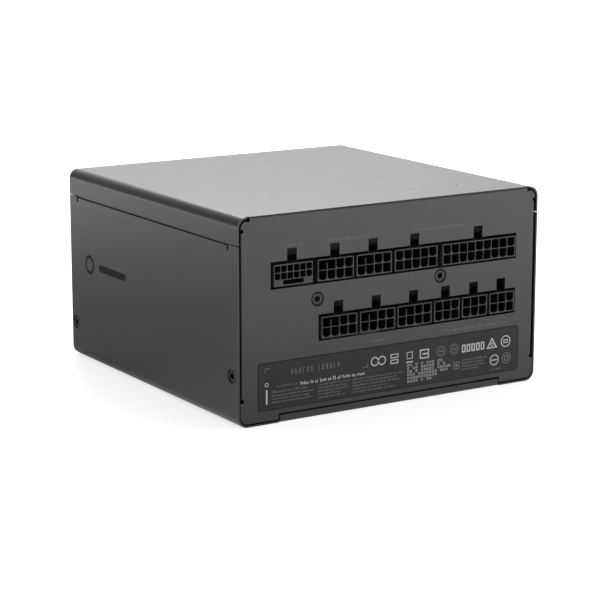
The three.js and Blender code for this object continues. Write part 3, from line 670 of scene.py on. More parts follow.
def socket_window(row):
    """The opening around one row of sockets, with a slot over each for its plug's latch."""
    boxes = [box_mm(name) for name in SOCKET_ROWS[row]]
    u0 = min(low.x for low, _ in boxes) - WINDOW_MARGIN
    u1 = max(high.x for _, high in boxes) + WINDOW_MARGIN
    v0 = boxes[0][0].z - WINDOW_MARGIN
    v1 = boxes[0][0].z + SOCKET_HEIGHT + WINDOW_MARGIN
    outline = [(u0, v0), (u1, v0), (u1, v1)]
    for left, right, top in reversed(latch_slots(row)):
        outline += [(right, v1), (right, top), (left, top), (left, v1)]
    return outline + [(u0, v1)]


def panel_outline():
    """An end panel between its bends, counter-clockwise from the right end of the lip."""
    corner_z = HEIGHT - LONG_BEND
    foot = PANEL_FOOT - BEND_X
    head = PANEL_HEAD - BEND_X
    relief_z = corner_z + head - CORNER_RELIEF
    right = [
        (LIP_HALF + LIP_GAP, LIP_TOP + 0.8),
        (LIP_HALF + LIP_GAP, PANEL_BOTTOM),
        *arc(BEND_X, PANEL_BOTTOM + foot, foot, -90, 0, BEND_STEPS),
        (PANEL_FOOT, LOW_NOTCH_Z - NOTCH / 2),
        (NOTCH_X, LOW_NOTCH_Z - NOTCH / 2),
        (NOTCH_X, LOW_NOTCH_Z + NOTCH / 4),
        (PANEL_BEND_X, LOW_NOTCH_Z + NOTCH / 2),
        (PANEL_BEND_X, HIGH_NOTCH_Z - NOTCH / 2),
        (NOTCH_X, HIGH_NOTCH_Z - NOTCH / 4),
        (NOTCH_X, HIGH_NOTCH_Z + NOTCH / 2),
        (PANEL_HEAD, HIGH_NOTCH_Z + NOTCH / 2),
        *arc(BEND_X, corner_z, head, 0, 90, BEND_STEPS),
        (BEND_X - 0.1, relief_z),
        (TOP_SPAN, relief_z),
        (TOP_SPAN, HEIGHT - SHORT_BEND),
    ]
    return right + mirrored(right)


def add_dimple(mesh, at, inward):
    """The countersunk funnel of a screw, from its rounded mouth down to its hole."""
    turn = Matrix.Translation(at) @ Vector(inward).to_track_quat("Z", "Y").to_matrix().to_4x4()
    throat = MOUTH_RADIUS - COUNTERSINK_DEPTH
    section = [
        (MOUTH_RADIUS + 0.25, 0),
        (MOUTH_RADIUS + 0.1, 0.03),
        (MOUTH_RADIUS, 0.12),
        (MOUTH_RADIUS - 0.1, 0.7),
        (throat + 0.05, COUNTERSINK_DEPTH - 0.05),
        (throat - 0.1, COUNTERSINK_DEPTH),
        (throat - 0.25, COUNTERSINK_DEPTH),
    ]
    add_turned(mesh, section, ROUND_SIDES, turn)


def dimple_mouth(at, inward, plane_axes):
    """The same funnel's mouth as a hole in a flat outline, with matching corners."""
    turn = Vector(inward).to_track_quat("Z", "Y")
    points = []
    for u, v in circle(0, 0, MOUTH_RADIUS + 0.25):
        point = Vector(at) + turn @ Vector((u, v, 0))
        points.append((point[plane_axes[0]], point[plane_axes[1]]))
    return points


def add_end_panel(mesh, end, holes):
    """One end panel at y = end * HALF_DEPTH, with its top bend and its side flanges."""
    add_plate(mesh, plane_xz(end * HALF_DEPTH), panel_outline(), holes)
    bend = arc(HEIGHT - SHORT_BEND, END_Y, SHORT_BEND, 0, 90, BEND_STEPS)
    profile = [(end * v, u) for u, v in bend]
    add_fold(mesh, plane_yz, profile, (-TOP_SPAN, TOP_SPAN))
    stations = (LOW_NOTCH_Z + NOTCH / 2, HIGH_NOTCH_Z - NOTCH / 2)
    for side in (-1, 1):
        turned = arc(PANEL_BEND_X, HALF_DEPTH - SIDE_BEND, SIDE_BEND, 90, 0, BEND_STEPS)
        profile = [(side * x, end * y) for x, y in turned]
        profile.append((side * PANEL_EDGE, end * (HALF_DEPTH - FLANGE_LENGTH)))
        add_fold(mesh, plane_xy, profile, stations)


def panel_screw_places():
    """Where the two screws between the rows of sockets sit, from their CAD boxes."""
    middles = {name: middle_mm(name) for name in PANEL_SCREWS}
    return {name: Vector((at.x, -HALF_DEPTH, at.z)) for name, at in middles.items()}


def side_screw_places():
    places = {}
    for side, hand in ((-1, "left"), (1, "right")):
        for end in ("front", "rear"):
            name = f"side_screw_{hand}_{end}"
            middle = middle_mm(name)
            places[name] = Vector((side * HALF_WIDTH, middle.y, middle.z))
    return places


INLET_LOW, INLET_HIGH = box_mm("ac_inlet")
INLET_X, _, INLET_Z = middle_mm("ac_inlet")
SWITCH_LOW, SWITCH_HIGH = box_mm("switch_housing")
SWITCH_X, _, SWITCH_Z = middle_mm("switch_housing")
INLET_SCREW_X = 20
INLET_HOLE = (14.2, 10.2)
SWITCH_HOLE = (7, 10)
CASE_SCREW_HOLES = [(-69, 80), (69, 80), (69, 16), (-45, 6)]
VENT_PITCH = 6.2
VENT_WEB = 1.1
VENT_HALF = 64.5
VENT_START_Z = 8
VENT_LOW, VENT_HIGH = 11, 76
VENT_CLEARANCE = (13.5, 18)


def vent_holes():
    """A honeycomb over the mains panel, clear of the inlet and the switch."""
    radius = (VENT_PITCH - VENT_WEB) / math.sqrt(3)
    rise = VENT_PITCH * math.sqrt(3) / 2
    columns = int(HALF_WIDTH / VENT_PITCH)
    beside, above = VENT_CLEARANCE
    holes = []
    for row in range(int(HEIGHT / rise)):
        for column in range(-columns, columns + 1):
            x = VENT_PITCH * (column + (row % 2) / 2)
            z = VENT_START_Z + row * rise
            in_field = abs(x) < VENT_HALF - radius and VENT_LOW < z < VENT_HIGH
            over_inlet = x < SWITCH_X + beside and abs(z - INLET_Z) < above
            if in_field and not over_inlet:
                holes.append(arc(x, z, radius, 30, 330, 5))
    return holes


def rear_holes():
    inlet = rounded_rectangle(*centred(INLET_X, INLET_Z, *INLET_HOLE), 2)
    switch = rectangle(*centred(SWITCH_X, SWITCH_Z, *SWITCH_HOLE))
    screws = [circle(INLET_X + side * INLET_SCREW_X, INLET_Z, 1.6, 16) for side in (-1, 1)]
    fixings = [circle(x, z, 1.75, 24) for x, z in CASE_SCREW_HOLES]
    return [inlet, switch, *screws, *fixings, *vent_holes()]


def add_clinches(mesh):
    """The shallow marks that the board's clinched standoffs leave in the top, as hole outlines."""
    outlines = []
    for i in range(4):
        at = middle_mm(f"board_standoff_{i + 1}")
        rings = [(2.0, 0), (1.7, 0.03), (1.35, 0.16), (1.0, 0.2)]
        steps = [(circle(at.x, at.y, radius, 24), HEIGHT - depth) for radius, depth in rings]
        add_sides(mesh, plane_xy, steps)
        floor, z = steps[-1]
        add_plate(mesh, plane_xy(z), floor)
        outlines.append(steps[0][0])
    return outlines


def upper_shell():
    """The hood: top, long bends and flanges, with both end panels folded down from it."""
    mesh = bmesh.new()
    front = [(-BEND_X, -END_Y), (-TOP_SPAN, -END_Y), (TOP_SPAN, -END_Y), (BEND_X, -END_Y)]
    rear = [(-u, -v) for u, v in front]
    add_plate(mesh, plane_xy(HEIGHT), front + rear, add_clinches(mesh))
    for side in (-1, 1):
        bend = arc(BEND_X, HEIGHT - LONG_BEND, LONG_BEND, 90, 0, 14)
        profile = [(side * x, z) for x, z in bend]
        profile.append((side * HALF_WIDTH, SEAM_Z + SEAM_GAP / 2))
        add_fold(mesh, plane_xz, profile, (-HALF_DEPTH, -END_Y, END_Y, HALF_DEPTH))
    screws = panel_screw_places().values()
    mouths = [dimple_mouth(at, (0, 1, 0), (0, 2)) for at in screws]
    add_end_panel(mesh, -1, [socket_window("upper"), socket_window("lower"), *mouths])
    for at in screws:
        add_dimple(mesh, at, (0, 1, 0))
    add_end_panel(mesh, 1, rear_holes())
    clean(mesh, join_flat=False)
    face_outwards(mesh, (0, 0, 1))
    piece = mesh_piece("hood_shell", mesh, [PAINT], ["upper_shell"])
    soften(piece, EDGE_ROUNDING, sheet=SHEET)


RECESS_HALF = 67.6
RECESS_DEPTH = 1.4
FAN_OPENING = 65.5
FAN_HOLE = 62.25
FAN_SCREW_HOLE = 2.8
FAN_CORNERS = [(i * FAN_HOLE, j * FAN_HOLE) for i in (-1, 1) for j in (-1, 1)]
TICK_NEAR = TICK_Y - TICK_WIDTH / 2
TICK_FAR = TICK_Y + TICK_WIDTH / 2


def wall_outline():
    """A side wall of the lower shell above its bend, with a tick cut at each end of its tab."""
    end_top = WALL_TOP + 0.56
    tick = WALL_TOP - TICK_DEPTH
    right = [
        (HALF_DEPTH, LONG_BEND),
        *arc(HALF_DEPTH - 0.3, end_top - 0.3, 0.3, 0, 90, 3),
        (TICK_FAR, end_top),
        (TICK_FAR, tick),
        (TICK_NEAR, tick),
        (TICK_NEAR, WALL_TOP - 0.2),
    ]
    return right + mirrored(right)


def add_floor(mesh):
    """The lower shell's floor, with the recess that seats the fan's guard."""
    slot = LIP_HALF + LIP_GAP
    front = [
        (-BEND_X, -HALF_DEPTH),
        (-slot, -HALF_DEPTH),
        (-slot, -END_Y),
        (-LIP_HALF, -END_Y),
        (LIP_HALF, -END_Y),
        (slot, -END_Y),
        (slot, -HALF_DEPTH),
        (BEND_X, -HALF_DEPTH),
    ]
    rear = [(-u, -v) for u, v in front]
    recess = rounded_rectangle(-RECESS_HALF, RECESS_HALF, -RECESS_HALF, RECESS_HALF, 5, 8)
    seat = inset(recess, 0.4)
    add_plate(mesh, plane_xy(0), front + rear, [recess])
    add_sides(mesh, plane_xy, [(recess, 0), (seat, RECESS_DEPTH)])
    screw_holes = [circle(x, y, FAN_SCREW_HOLE) for x, y in FAN_CORNERS]
    opening = circle(0, 0, FAN_OPENING, FINE_SIDES)
    add_plate(mesh, plane_xy(RECESS_DEPTH), seat, [opening, *screw_holes])


def add_lip(mesh, end):
    """The lip that is turned up from the floor outside an end panel's foot."""
    bend = arc(END_Y, SHORT_BEND, SHORT_BEND, -90, 0, BEND_STEPS)
    profile = [(end * y, z) for y, z in bend]
    add_fold(mesh, plane_yz, profile, (-LIP_HALF, LIP_HALF))
    half, top = LIP_HALF - LIP_CORNER, LIP_TOP - LIP_CORNER
    lip = [
        (-LIP_HALF, SHORT_BEND),
        (LIP_HALF, SHORT_BEND),
        *arc(half, top, LIP_CORNER, 0, 90, 4),
        *arc(-half, top, LIP_CORNER, 90, 180, 4),
    ]
    add_plate(mesh, plane_xz(end * HALF_DEPTH), lip)


def add_side_wall(mesh, side):
    """A long bend and the wall above it, with its screws' dimples and its tab at the seam."""
    profile = [(side * x, z) for x, z in arc(BEND_X, LONG_BEND, LONG_BEND, -90, 0, 14)]
    add_fold(mesh, plane_xz, profile, (-HALF_DEPTH, HALF_DEPTH))
    inward = (-side, 0, 0)
    places = [at for at in side_screw_places().values() if at.x * side > 0]
    mouths = [dimple_mouth(at, inward, (1, 2)) for at in places]
    add_plate(mesh, plane_yz(side * HALF_WIDTH), wall_outline(), mouths)
    for at in places:
        add_dimple(mesh, at, inward)
    tab_x = HALF_WIDTH - SHEET - 0.15
    joggle = [
        *arc(HALF_WIDTH - 0.2, WALL_TOP - 0.2, 0.2, 0, 90, 4),
        (tab_x, WALL_TOP + 0.05),
        (tab_x, WALL_TOP + 4),
    ]
    profile = [(side * x, z) for x, z in joggle]
    add_fold(mesh, plane_xz, profile, (-TICK_NEAR, TICK_NEAR))


def lower_shell():
    """The tray: floor with the fan's recess, a lip at each end, and the walls up to the seam."""
    mesh = bmesh.new()
    add_floor(mesh)
    for end in (-1, 1):
        add_lip(mesh, end)
    for side in (-1, 1):
        add_side_wall(mesh, side)
    clean(mesh)
    face_outwards(mesh, (0, 0, -1))
    piece = mesh_piece("tray_shell", mesh, [PAINT], ["lower_shell"])
    soften(piece, EDGE_ROUNDING, sheet=SHEET, miter="MITER_ARC")


# ------------------------------------------------------------------ fasteners

# The recess takes the near-black zinc: painted shade.
SHADED_RECESS = 1  # the place of the recess's material in a screw's list
SCREW_RECESS = 1.5
THREAD_PITCH = 0.7
THREAD_DEPTH = 0.25
HEAD_RADIUS = 2.4
SHANK_RADIUS = 1.25
SUNK = 0.3


def cross(arm, half):
    """The outline of a cross with arms that long and twice half wide, counter-clockwise."""
    quarter = [(arm, -half), (arm, half), (half, half)]
    points = []
    for turn in range(4):
        c, s = math.cos(turn * math.pi / 2), math.sin(turn * math.pi / 2)
        points += [(u * c - v * s, u * s + v * c) for u, v in quarter]
    return points


def lobes(radius, depth):
    """The outline of a six-lobed driver recess."""
    angles = [2 * math.pi * i / 48 for i in range(48)]
    reach = [radius + depth * math.cos(6 * angle) for angle in angles]
    return [(r * math.cos(angle), r * math.sin(angle)) for r, angle in zip(reach, angles)]


def screw(name, face, outward, head, shank, length, crossed=False):
    """A countersunk screw with a recess and a rolled thread, its face's centre at face. Its recess is near-black,
    painted shade.
    """
    mesh = bmesh.new()
    rim = circle(0, 0, head - 0.1)
    if crossed:
        mouth, floor = cross(head * 0.56, 0.5), cross(head * 0.42, 0.26)
    else:
        mouth, floor = lobes(1.25, 0.16), lobes(1.12, 0.14)
    add_plate(mesh, plane_xy(0), rim, [mouth])
    add_sides(mesh, plane_xy, [(mouth, 0), (floor, -SCREW_RECESS)], paint=SHADED_RECESS)
    add_plate(mesh, plane_xy(-SCREW_RECESS), floor, paint=SHADED_RECESS)
    neck = (shank, shank - head - 0.25)
    section = [(head - 0.1, 0), (head, -0.1), (head, -0.25), neck]
    start = head - shank + 0.6
    for i in range(int((length - start - 1) / THREAD_PITCH)):
        depth = start + i * THREAD_PITCH
        section += [(shank, -depth), (shank - THREAD_DEPTH, -depth - THREAD_PITCH / 2)]
    section += [(shank - 0.2, 0.5 - length), (shank - 0.6, -length)]
    add_turned(mesh, section, ROUND_SIDES)
    add_plate(mesh, plane_xy(-length), circle(0, 0, shank - 0.6))
    clean(mesh)
    twist = Matrix.Rotation(math.radians(20), 4, "Z")
    turn = Vector(outward).to_track_quat("Z", "Y").to_matrix().to_4x4()
    place = Matrix.Translation(face) @ turn @ twist
    bmesh.ops.transform(mesh, matrix=place, verts=mesh.verts)
    piece = mesh_piece(f"{name}_detail", mesh, [SCREW_METAL, RECESS_SHADE_METAL], [name])
    soften(piece, 0.06, angle=45)


def all_screws():
    """The screws of the panel, the side walls, the mains inlet and the fan."""
    for name, at in panel_screw_places().items():
        face = at + Vector((0, SUNK, 0))
        screw(name, face, (0, -1, 0), HEAD_RADIUS, SHANK_RADIUS, 5.5)
    for name, at in side_screw_places().items():
        side = math.copysign(1, at.x)
        face = at - Vector((side * SUNK, 0, 0))
        screw(name, face, (side, 0, 0), HEAD_RADIUS, SHANK_RADIUS, 5.5)
    for name in ("inlet_screw_left", "inlet_screw_right"):
        face = middle_mm(name)
        face.y = box_mm(name)[1].y
        screw(name, face, (0, 1, 0), 2.65, SHANK_RADIUS, 7, crossed=True)
    for place in ("front_left", "front_right", "rear_left", "rear_right"):
        name = f"fan_screw_{place}"
        face = middle_mm(name)
        face.z = box_mm(name)[0].z
        screw(name, face, (0, 0, -1), 3.7, 1.8, 12, crossed=True)


# ------------------------------------------------------------------ sockets

# Both are near-black: the contacts' metal and the plastic past the cells' throats and on the latch ramps paint
# shade.
CONTACT, DEEP_SHADE = 1, 2  # the places of their materials in a socket's list
PITCH = 4.2
CELL = 3.88
FINE_PITCH = 3
FINE_CELL = 2.66
SOCKET_LENGTH = 13.3
CELL_DEPTH = 10
THROAT = 0.7
SQUARE_CORNER = 0.18
KEYS = {
    "8_pin": ["SSRR", "RRRS"],
    "6_pin": ["SSR", "RRS"],
    "10_pin": ["RRSSR", "SSRRS"],
    "18_pin": ["RRSSRRSSR", "SSRRSSRRS"],
    "16_pin": ["SRRSSR", "RSSRRR"],
}
SIGNAL_SLOT = [(-4.6, -3.9), (4.6, -3.9), (4.9, -3.5), (4.9, -2.1), (-4.9, -2.1), (-4.9, -3.5)]
SIGNAL_PITCH = 2.2


def cell_outline(u, v, size, key, rounding=0.36):
    """A cell's mouth: S is square, R has its two lower corners rounded off."""
    half = size / 2
    small = SQUARE_CORNER
    low = size * rounding if key == "R" else small
    return [
        *arc(u + half - low, v - half + low, low, -90, 0, 5),
        *arc(u + half - small, v + half - small, small, 0, 90, 2),
        *arc(u - half + small, v + half - small, small, 90, 180, 2),
        *arc(u - half + low, v - half + low, low, 180, 270, 5),
    ]


def double_cell(u, v):
    """Two neighbouring cells, the left one at (u, v), with only a short wall between them."""
    half = CELL / 2
    left, right = u - half, u + PITCH + half
    wall, web = u + PITCH / 2, (PITCH - CELL) / 2
    tip = v + half * 0.45
    return [
        (left, v - half),
        (wall - web, v - half),
        (wall - web, tip),
        (wall + web, tip),
        (wall + web, v - half),
        (right, v - half),
        (right, v + half),
        (left, v + half),
    ]


def cell_places(keys, pitch, u0, top_v):
    """(u, v, key) of each cell in two rows about u0, the upper row at top_v."""
    cells = []
    for row, row_keys in enumerate(keys):
        for column, key in enumerate(row_keys):
            u = (column - (len(row_keys) - 1) / 2) * pitch
            cells.append((u0 + u, top_v - row * pitch, key))
    return cells


def add_housing(mesh, face, outline, cells):
    """A moulded block at y = face with blind cells, open at -Y. Past the throat the cells are near-black, painted
    shade.
    """
    throat, floor, back = (face + depth for depth in (THROAT, CELL_DEPTH, SOCKET_LENGTH))
    add_plate(mesh, plane_xz(face), outline, cells)
    add_sides(mesh, plane_xz, [(outline, face), (outline, back)])
    add_plate(mesh, plane_xz(back), outline)
    for cell in cells:
        add_sides(mesh, plane_xz, [(cell, face), (cell, throat)])
        # Near-black from the throat down: painted shade deep in the cell.
        add_sides(mesh, plane_xz, [(cell, throat), (cell, floor)], paint=DEEP_SHADE)
        add_plate(mesh, plane_xz(floor), cell, paint=DEEP_SHADE)


def add_contact(mesh, u, v, face, half):
    """One tinned pin that stands up from its cell's floor, with a tapered tip, painted near-black as shade in the
    cell.
    """
    root, neck, tip = face + CELL_DEPTH + 0.3, face + 6.6, face + 6.0
    wide, narrow = (rectangle(*centred(u, v, size, size)) for size in (half, half * 0.45))
    add_stepped(mesh, plane_xz, [(wide, root), (wide, neck), (narrow, tip)], paint=CONTACT)


def add_latch_ramp(mesh, u, face, top):
    """The ramp that a plug's latch snaps over, between two low ribs, in the near-black plastic that paints shade
    behind the slot.
    """
    ramp = [
        (face + 1.2, top - 0.2),
        (face + 4, top - 0.2),
        (face + 4, top + 1),
        (face + 3.4, top + 1),
        (face + 1.2, top),
    ]
    rib = [
        (face + 0.6, top - 0.2),
        (face + 6, top - 0.2),
        (face + 6, top + 0.7),
        (face + 1, top + 0.7),
    ]
    add_prism(mesh, plane_yz, ramp, u - 1.7, u + 1.7, paint=DEEP_SHADE)
    for side in (-1, 1):
        edges = sorted((u + side * 1.9, u + side * 2.4))
        add_prism(mesh, plane_yz, rib, *edges, paint=DEEP_SHADE)


def socket(name, latch):
    """One socket: its block, cells and pins, and the ramp for its plug's latch at x = latch."""
    low, high = box_mm(name)
    u0, v0, face = (low.x + high.x) / 2, low.z + SOCKET_HEIGHT / 2, low.y
    mesh = bmesh.new()
    outline = rounded_rectangle(low.x, high.x, low.z, low.z + SOCKET_HEIGHT, 0.35, 3)
    kind = next(kind for kind in KEYS if f"_{kind}" in name)
    if kind == "16_pin":
        cells = cell_places(KEYS[kind], FINE_PITCH, u0, v0 + 2.6)
        mouths = [cell_outline(u, v, FINE_CELL, key, 0.3) for u, v, key in cells]
        mouths.append([(u0 + u, v0 + v) for u, v in SIGNAL_SLOT])
        contact = 0.4
        for i in range(4):
            add_contact(mesh, u0 + (i - 1.5) * SIGNAL_PITCH, v0 - 3.05, face, 0.22)
    else:
        cells = cell_places(KEYS[kind], PITCH, u0, v0 + PITCH / 2)
        mouths = [cell_outline(u, v, CELL, key) for u, v, key in cells]
        contact = 0.55
    if kind == "8_pin":
        mouths[:2] = [double_cell(*cells[0][:2])]
    add_housing(mesh, face, outline, mouths)
    add_latch_ramp(mesh, latch, face, low.z + SOCKET_HEIGHT)
    for u, v, _ in cells:
        add_contact(mesh, u, v, face, contact)
    materials = [SOCKET_PLASTIC, SHADED_CONTACT_METAL, DEEP_SHADE_PLASTIC]
    finished_piece(
        f"{name}_housing", mesh, materials, "socket_plastic", [name], 0.07, angle=45
    )


def all_sockets():
    for row, names in SOCKET_ROWS.items():
        for name, (left, right, _) in zip(names, latch_slots(row)):
            socket(name, (left + right) / 2)


# ------------------------------------------------------------------ label and print

LABEL_LOW, LABEL_HIGH = box_mm("rating_label")
INK_THICKNESS = 0.012
# The fourth ink draws the line round the label's edge: a painted shadow.
LABEL_INKS = [LABEL_INK, BRIGHT_INK, FAINT_INK, MARK_AND_EDGE_SHADOW_INK, DENSE_INK]
PLAIN, BRIGHT, FAINT, EDGE_SHADOW, DENSE = range(5)
MARKS_Z = 19.4
LOWER_MARKS_Z = 11.8
LINE_PITCH = 1.35
LINE_ENDS = (0.0, 0.12, 0.05, 0.3, 0.16)
BLOCK_CELL = 1.42


class Print:
    """Flat printed marks on a panel that faces -Y, built up as thin solids."""

    def __init__(self, face):
        self.mesh = bmesh.new()
        self.face = face

    def shape(self, outline, holes=(), paint=PLAIN):
        low, high = self.face - INK_THICKNESS, self.face + INK_THICKNESS / 2
        add_prism(self.mesh, plane_xz, outline, low, high, holes, paint)

    def bar(self, x0, x1, z0, z1, paint=PLAIN):
        self.shape(rectangle(x0, x1, z0, z1), paint=paint)

    def ring(self, x, z, radius, line, paint=PLAIN, sides=28):
        self.shape(circle(x, z, radius, sides), [circle(x, z, radius - line, sides)], paint)

    def frame(self, x0, x1, z0, z1, line, paint=PLAIN):
        inner = rectangle(x0 + line, x1 - line, z0 + line, z1 - line)
        self.shape(rectangle(x0, x1, z0, z1), [inner], paint)

    def words(self, x0, x1, z, height, seed, paint=PLAIN):
        """One line of writing too small to read: strokes grouped like words."""
        draw = random.Random(seed)
        x = x0
        stroke = height * 0.2
        while x < x1 - stroke:
            for _ in range(draw.randint(2, 6)):
                if x > x1 - stroke:
                    break
                tall = height * draw.choice((0.62, 0.62, 0.72, 1.0))
                self.bar(x, x + stroke, z, z + tall, paint)
                if draw.random() < 0.7:
                    level = z + draw.choice((0.0, tall - stroke, tall / 2))
                    self.bar(x + stroke, x + stroke * 2.2, level, level + stroke, paint)
                x += height * 0.56
            x += height * 0.42

    def piece(self, name, inks, slot):
        clean(self.mesh, FINE_MERGE)
        mesh_piece(name, self.mesh, inks)


def rating_label():
    """The film itself, with rounded corners and a soft cut edge."""
    mesh = bmesh.new()
    outline = rounded_rectangle(LABEL_LOW.x, LABEL_HIGH.x, LABEL_LOW.z, LABEL_HIGH.z, 1.2, 6)
    add_prism(mesh, plane_xz, outline, LABEL_LOW.y, LABEL_HIGH.y)
    finished_piece("rating_film", mesh, [FILM], "label_film", ["rating_label"], 0.04)


def serial_field(marks):
    """Corner brackets around a blank field, with a bright line below."""
    left, right, low, high = -62.7, -12.8, 17.5, 23.4
    arm, line = 2.6, 0.22
    for u, v, side_u, side_v in ((left, high, 1, -1), (right, low, -1, 1)):
        corner = [(0, 0), (arm, 0), (arm, line), (line, line), (line, arm * 0.7), (0, arm * 0.7)]
        marks.shape([(u + side_u * a, v + side_v * b) for a, b in corner])
    heading(marks)
    marks.words(-45.7, -13.1, 14.5, 1.5, 11, BRIGHT)


def heading(marks):
    """A faint row of upright and level strokes, in two groups, that spell nothing."""
    left, right, z0, z1 = -50.1, -25.8, 19.5, 21.7
    count, gap_at, space, line = 13, 6, 1.1, 0.26
    width = (right - left) / count - space
    draw = random.Random(5)
    for i in range(count):
        if i == gap_at:
            continue
        x = left + i * (width + space)
        marks.bar(x, x + line, z0, z1, FAINT)
        if draw.random() < 0.8:
            marks.bar(x + line, x + width, z1 - line, z1, FAINT)
        if draw.random() < 0.8:
            marks.bar(x + width - line, x + width, z0, z1 - line, FAINT)
        if draw.random() < 0.5:
            marks.bar(x + line, x + width - line, z0, z0 + line, FAINT)


def approval_marks(marks):
    """A row of plain rings, frames, bars and a triangle where such labels carry their marks."""
    z = MARKS_Z
    for x in (-9.3, -5.7):
        marks.ring(x, z, 2.0, 0.5, BRIGHT)
    marks.frame(-1.4, 2.6, z + 0.2, z + 2, 0.4, BRIGHT)
    marks.frame(-1.4, 2.6, z - 2.2, z - 0.4, 0.4, BRIGHT)
    marks.frame(6.9, 9.9, z - 1.2, z + 1.8, 0.3, BRIGHT)
    marks.bar(6.6, 10.2, z - 2.8, z - 2.3, BRIGHT)
    marks.frame(13.6, 18.3, z - 2, z + 2, 0.5, BRIGHT)
    marks.bar(15.0, 18.0, z - 0.3, z + 0.3, BRIGHT)
    for x in (24.5, 31.5):
        marks.ring(x, z, 2.4, 0.28, FAINT)
        marks.ring(x, z, 1.6, 0.22, FAINT)
        marks.bar(x - 1, x + 1, z - 0.25, z + 0.25, FAINT)
    for i in range(5):
        x = 35.6 + i * 2.5
        marks.frame(x, x + 1.9, z - 2.1, z + 1.3, 0.55, BRIGHT)
    triangle = [(48.7, z - 2.2), (54.5, z - 2.2), (51.6, z + 2.6)]
    hole = [(49.7, z - 1.65), (53.5, z - 1.65), (51.6, z + 1.5)]
    marks.shape(triangle, [hole], BRIGHT)
    marks.ring(51.6, z - 0.5, 0.8, 0.35, BRIGHT)
    marks.ring(59.0, z, 2.6, 0.45, BRIGHT)
    marks.frame(57.8, 60.2, z - 0.8, z + 0.8, 0.4, BRIGHT)


def lower_marks(marks):
    """Two rings with a bar and a ring in them, over a short line of strokes."""
    z = LOWER_MARKS_Z
    marks.ring(53.0, z, 2.4, 0.4, BRIGHT)
    marks.bar(51.4, 54.6, z - 0.25, z + 0.25, BRIGHT)
    marks.ring(59.6, z, 2.4, 0.3)
    marks.ring(59.6, z, 1.3, 0.4)
    marks.words(50.9, 56.4, 7.3, 0.9, 31)


def small_print(marks):
    """Blocks of lines too small to read: left, right, first line's level, lines and height."""
    blocks = [
        (-58.9, -42.6, 12.8, 1, 0.95),
        (-59.4, -39.4, 11.3, 3, 0.8),
        (-37.3, -21.6, 12.9, 5, 0.85),
        (-20.2, 4.9, 12.8, 5, 0.85),
        (35.5, 48.9, 13.6, 4, 0.8),
    ]
    for number, (x0, x1, z, rows, height) in enumerate(blocks):
        for row in range(rows):
            end = x1 - (x1 - x0) * LINE_ENDS[row % len(LINE_ENDS)]
            marks.words(x0, end, z - row * LINE_PITCH, height, 100 * number + row)


def dense_block(marks):
    """Rows of tiny frames, as close as characters, with a few left out."""
    left, top, line = 7.2, 15.0, 0.24
    draw = random.Random(9)
    for row, length in enumerate((13, 14, 16, 15, 12, 9)):
        for column in range(length):
            if draw.random() < 0.12:
                continue
            x, z = left + column * BLOCK_CELL, top - row * BLOCK_CELL
            marks.frame(x, x + 1.05, z, z + 1.0, line, DENSE)
            if draw.random() < 0.5:
                marks.bar(x + 0.4, x + 0.65, z + line, z + 1 - line, DENSE)


def label_print():
    """The rating label's print, with bars and rings in place of its words and marks, and a painted shadow round
    its edge.
    """
    marks = Print(LABEL_LOW.y)
    serial_field(marks)
    approval_marks(marks)
    lower_marks(marks)
    small_print(marks)
    dense_block(marks)
    low, high = LABEL_LOW, LABEL_HIGH
    # A near-black line round the edge: painted shadow of the label's rim.
    rim = rounded_rectangle(low.x + 0.1, high.x - 0.1, low.z + 0.1, high.z - 0.1, 1.1, 6)
    marks.shape(rim, [inset(rim, 0.28)], EDGE_SHADOW)
    marks.frame(31.2, 34.4, 10.4, 13.6, 0.3)
    marks.bar(32.2, 33.4, 11.4, 12.6)
    marks.bar(-62.2, -61.5, 8.5, 14.5, BRIGHT)
    marks.ring(-61.85, 16.6, 0.9, 0.3, BRIGHT, 20)
    marks.words(-57.0, -47.0, 15.0, 0.85, 77)
    marks.piece("label_print", LABEL_INKS, "label_film")


def port_captions():
    """Thin rules with a few strokes between them, over or under each group of sockets."""
    marks = Print(-HALF_DEPTH)
    groups = [
        (-54.4, -45.3, 73.1, -52.2, -47.4),
        (-32.4, -9.1, 72.9, -25.8, -15.0),
        (10.5, 42.4, 72.9, 17.0, 35.9),
        (-13.7, -2.1, 28.4, -11.8, -4.2),
        (23.6, 60.0, 28.0, 30.5, 54.0),
    ]
    rule, space, tick = 0.16, 0.8, 0.7
    for number, (x0, x1, z, word0, word1) in enumerate(groups):
        marks.bar(x0, word0 - space, z, z + rule)
        marks.bar(word1 + space, x1, z, z + rule)
        for end in (x0, x1 - rule):
            marks.bar(end, end + rule, z - tick, z)
        marks.words(word0, word1, z - 0.6, 1.25, 200 + number)
    marks.piece("port_captions", [FAINT_INK], "shell_paint")


def side_mark():
    """A plain ring and bar, printed in near-black ink on the left wall."""
    mesh = bmesh.new()
    low, high = -HALF_WIDTH - INK_THICKNESS, -HALF_WIDTH + INK_THICKNESS / 2
    add_prism(mesh, plane_yz, circle(56, 45, 4.4, 48), low, high, [circle(56, 45, 2.9, 48)])
    add_prism(mesh, plane_yz, rounded_rectangle(21, 47, 43.4, 46.6, 1.6, 6), low, high)
    clean(mesh, FINE_MERGE)
    mesh_piece("side_mark", mesh, [MARK_AND_EDGE_SHADOW_INK])


# ------------------------------------------------------------------ fan and its guard

FAN_FRAME_LOW, FAN_FRAME_HIGH = box_mm("fan_frame")
FAN_BORE = 66.8
HUB_RADIUS = 22
CORNER_REACH = FAN_HOLE * math.sqrt(2)
GUARD_WIRE = 0.5
GUARD_MIDDLE = 0.62
GUARD_RINGS = (30, 36, 42, 48, 54, 60, 64.2)
BLADES = 7
BLADE_SPANS = 9
BLADE_CHORDS = 12


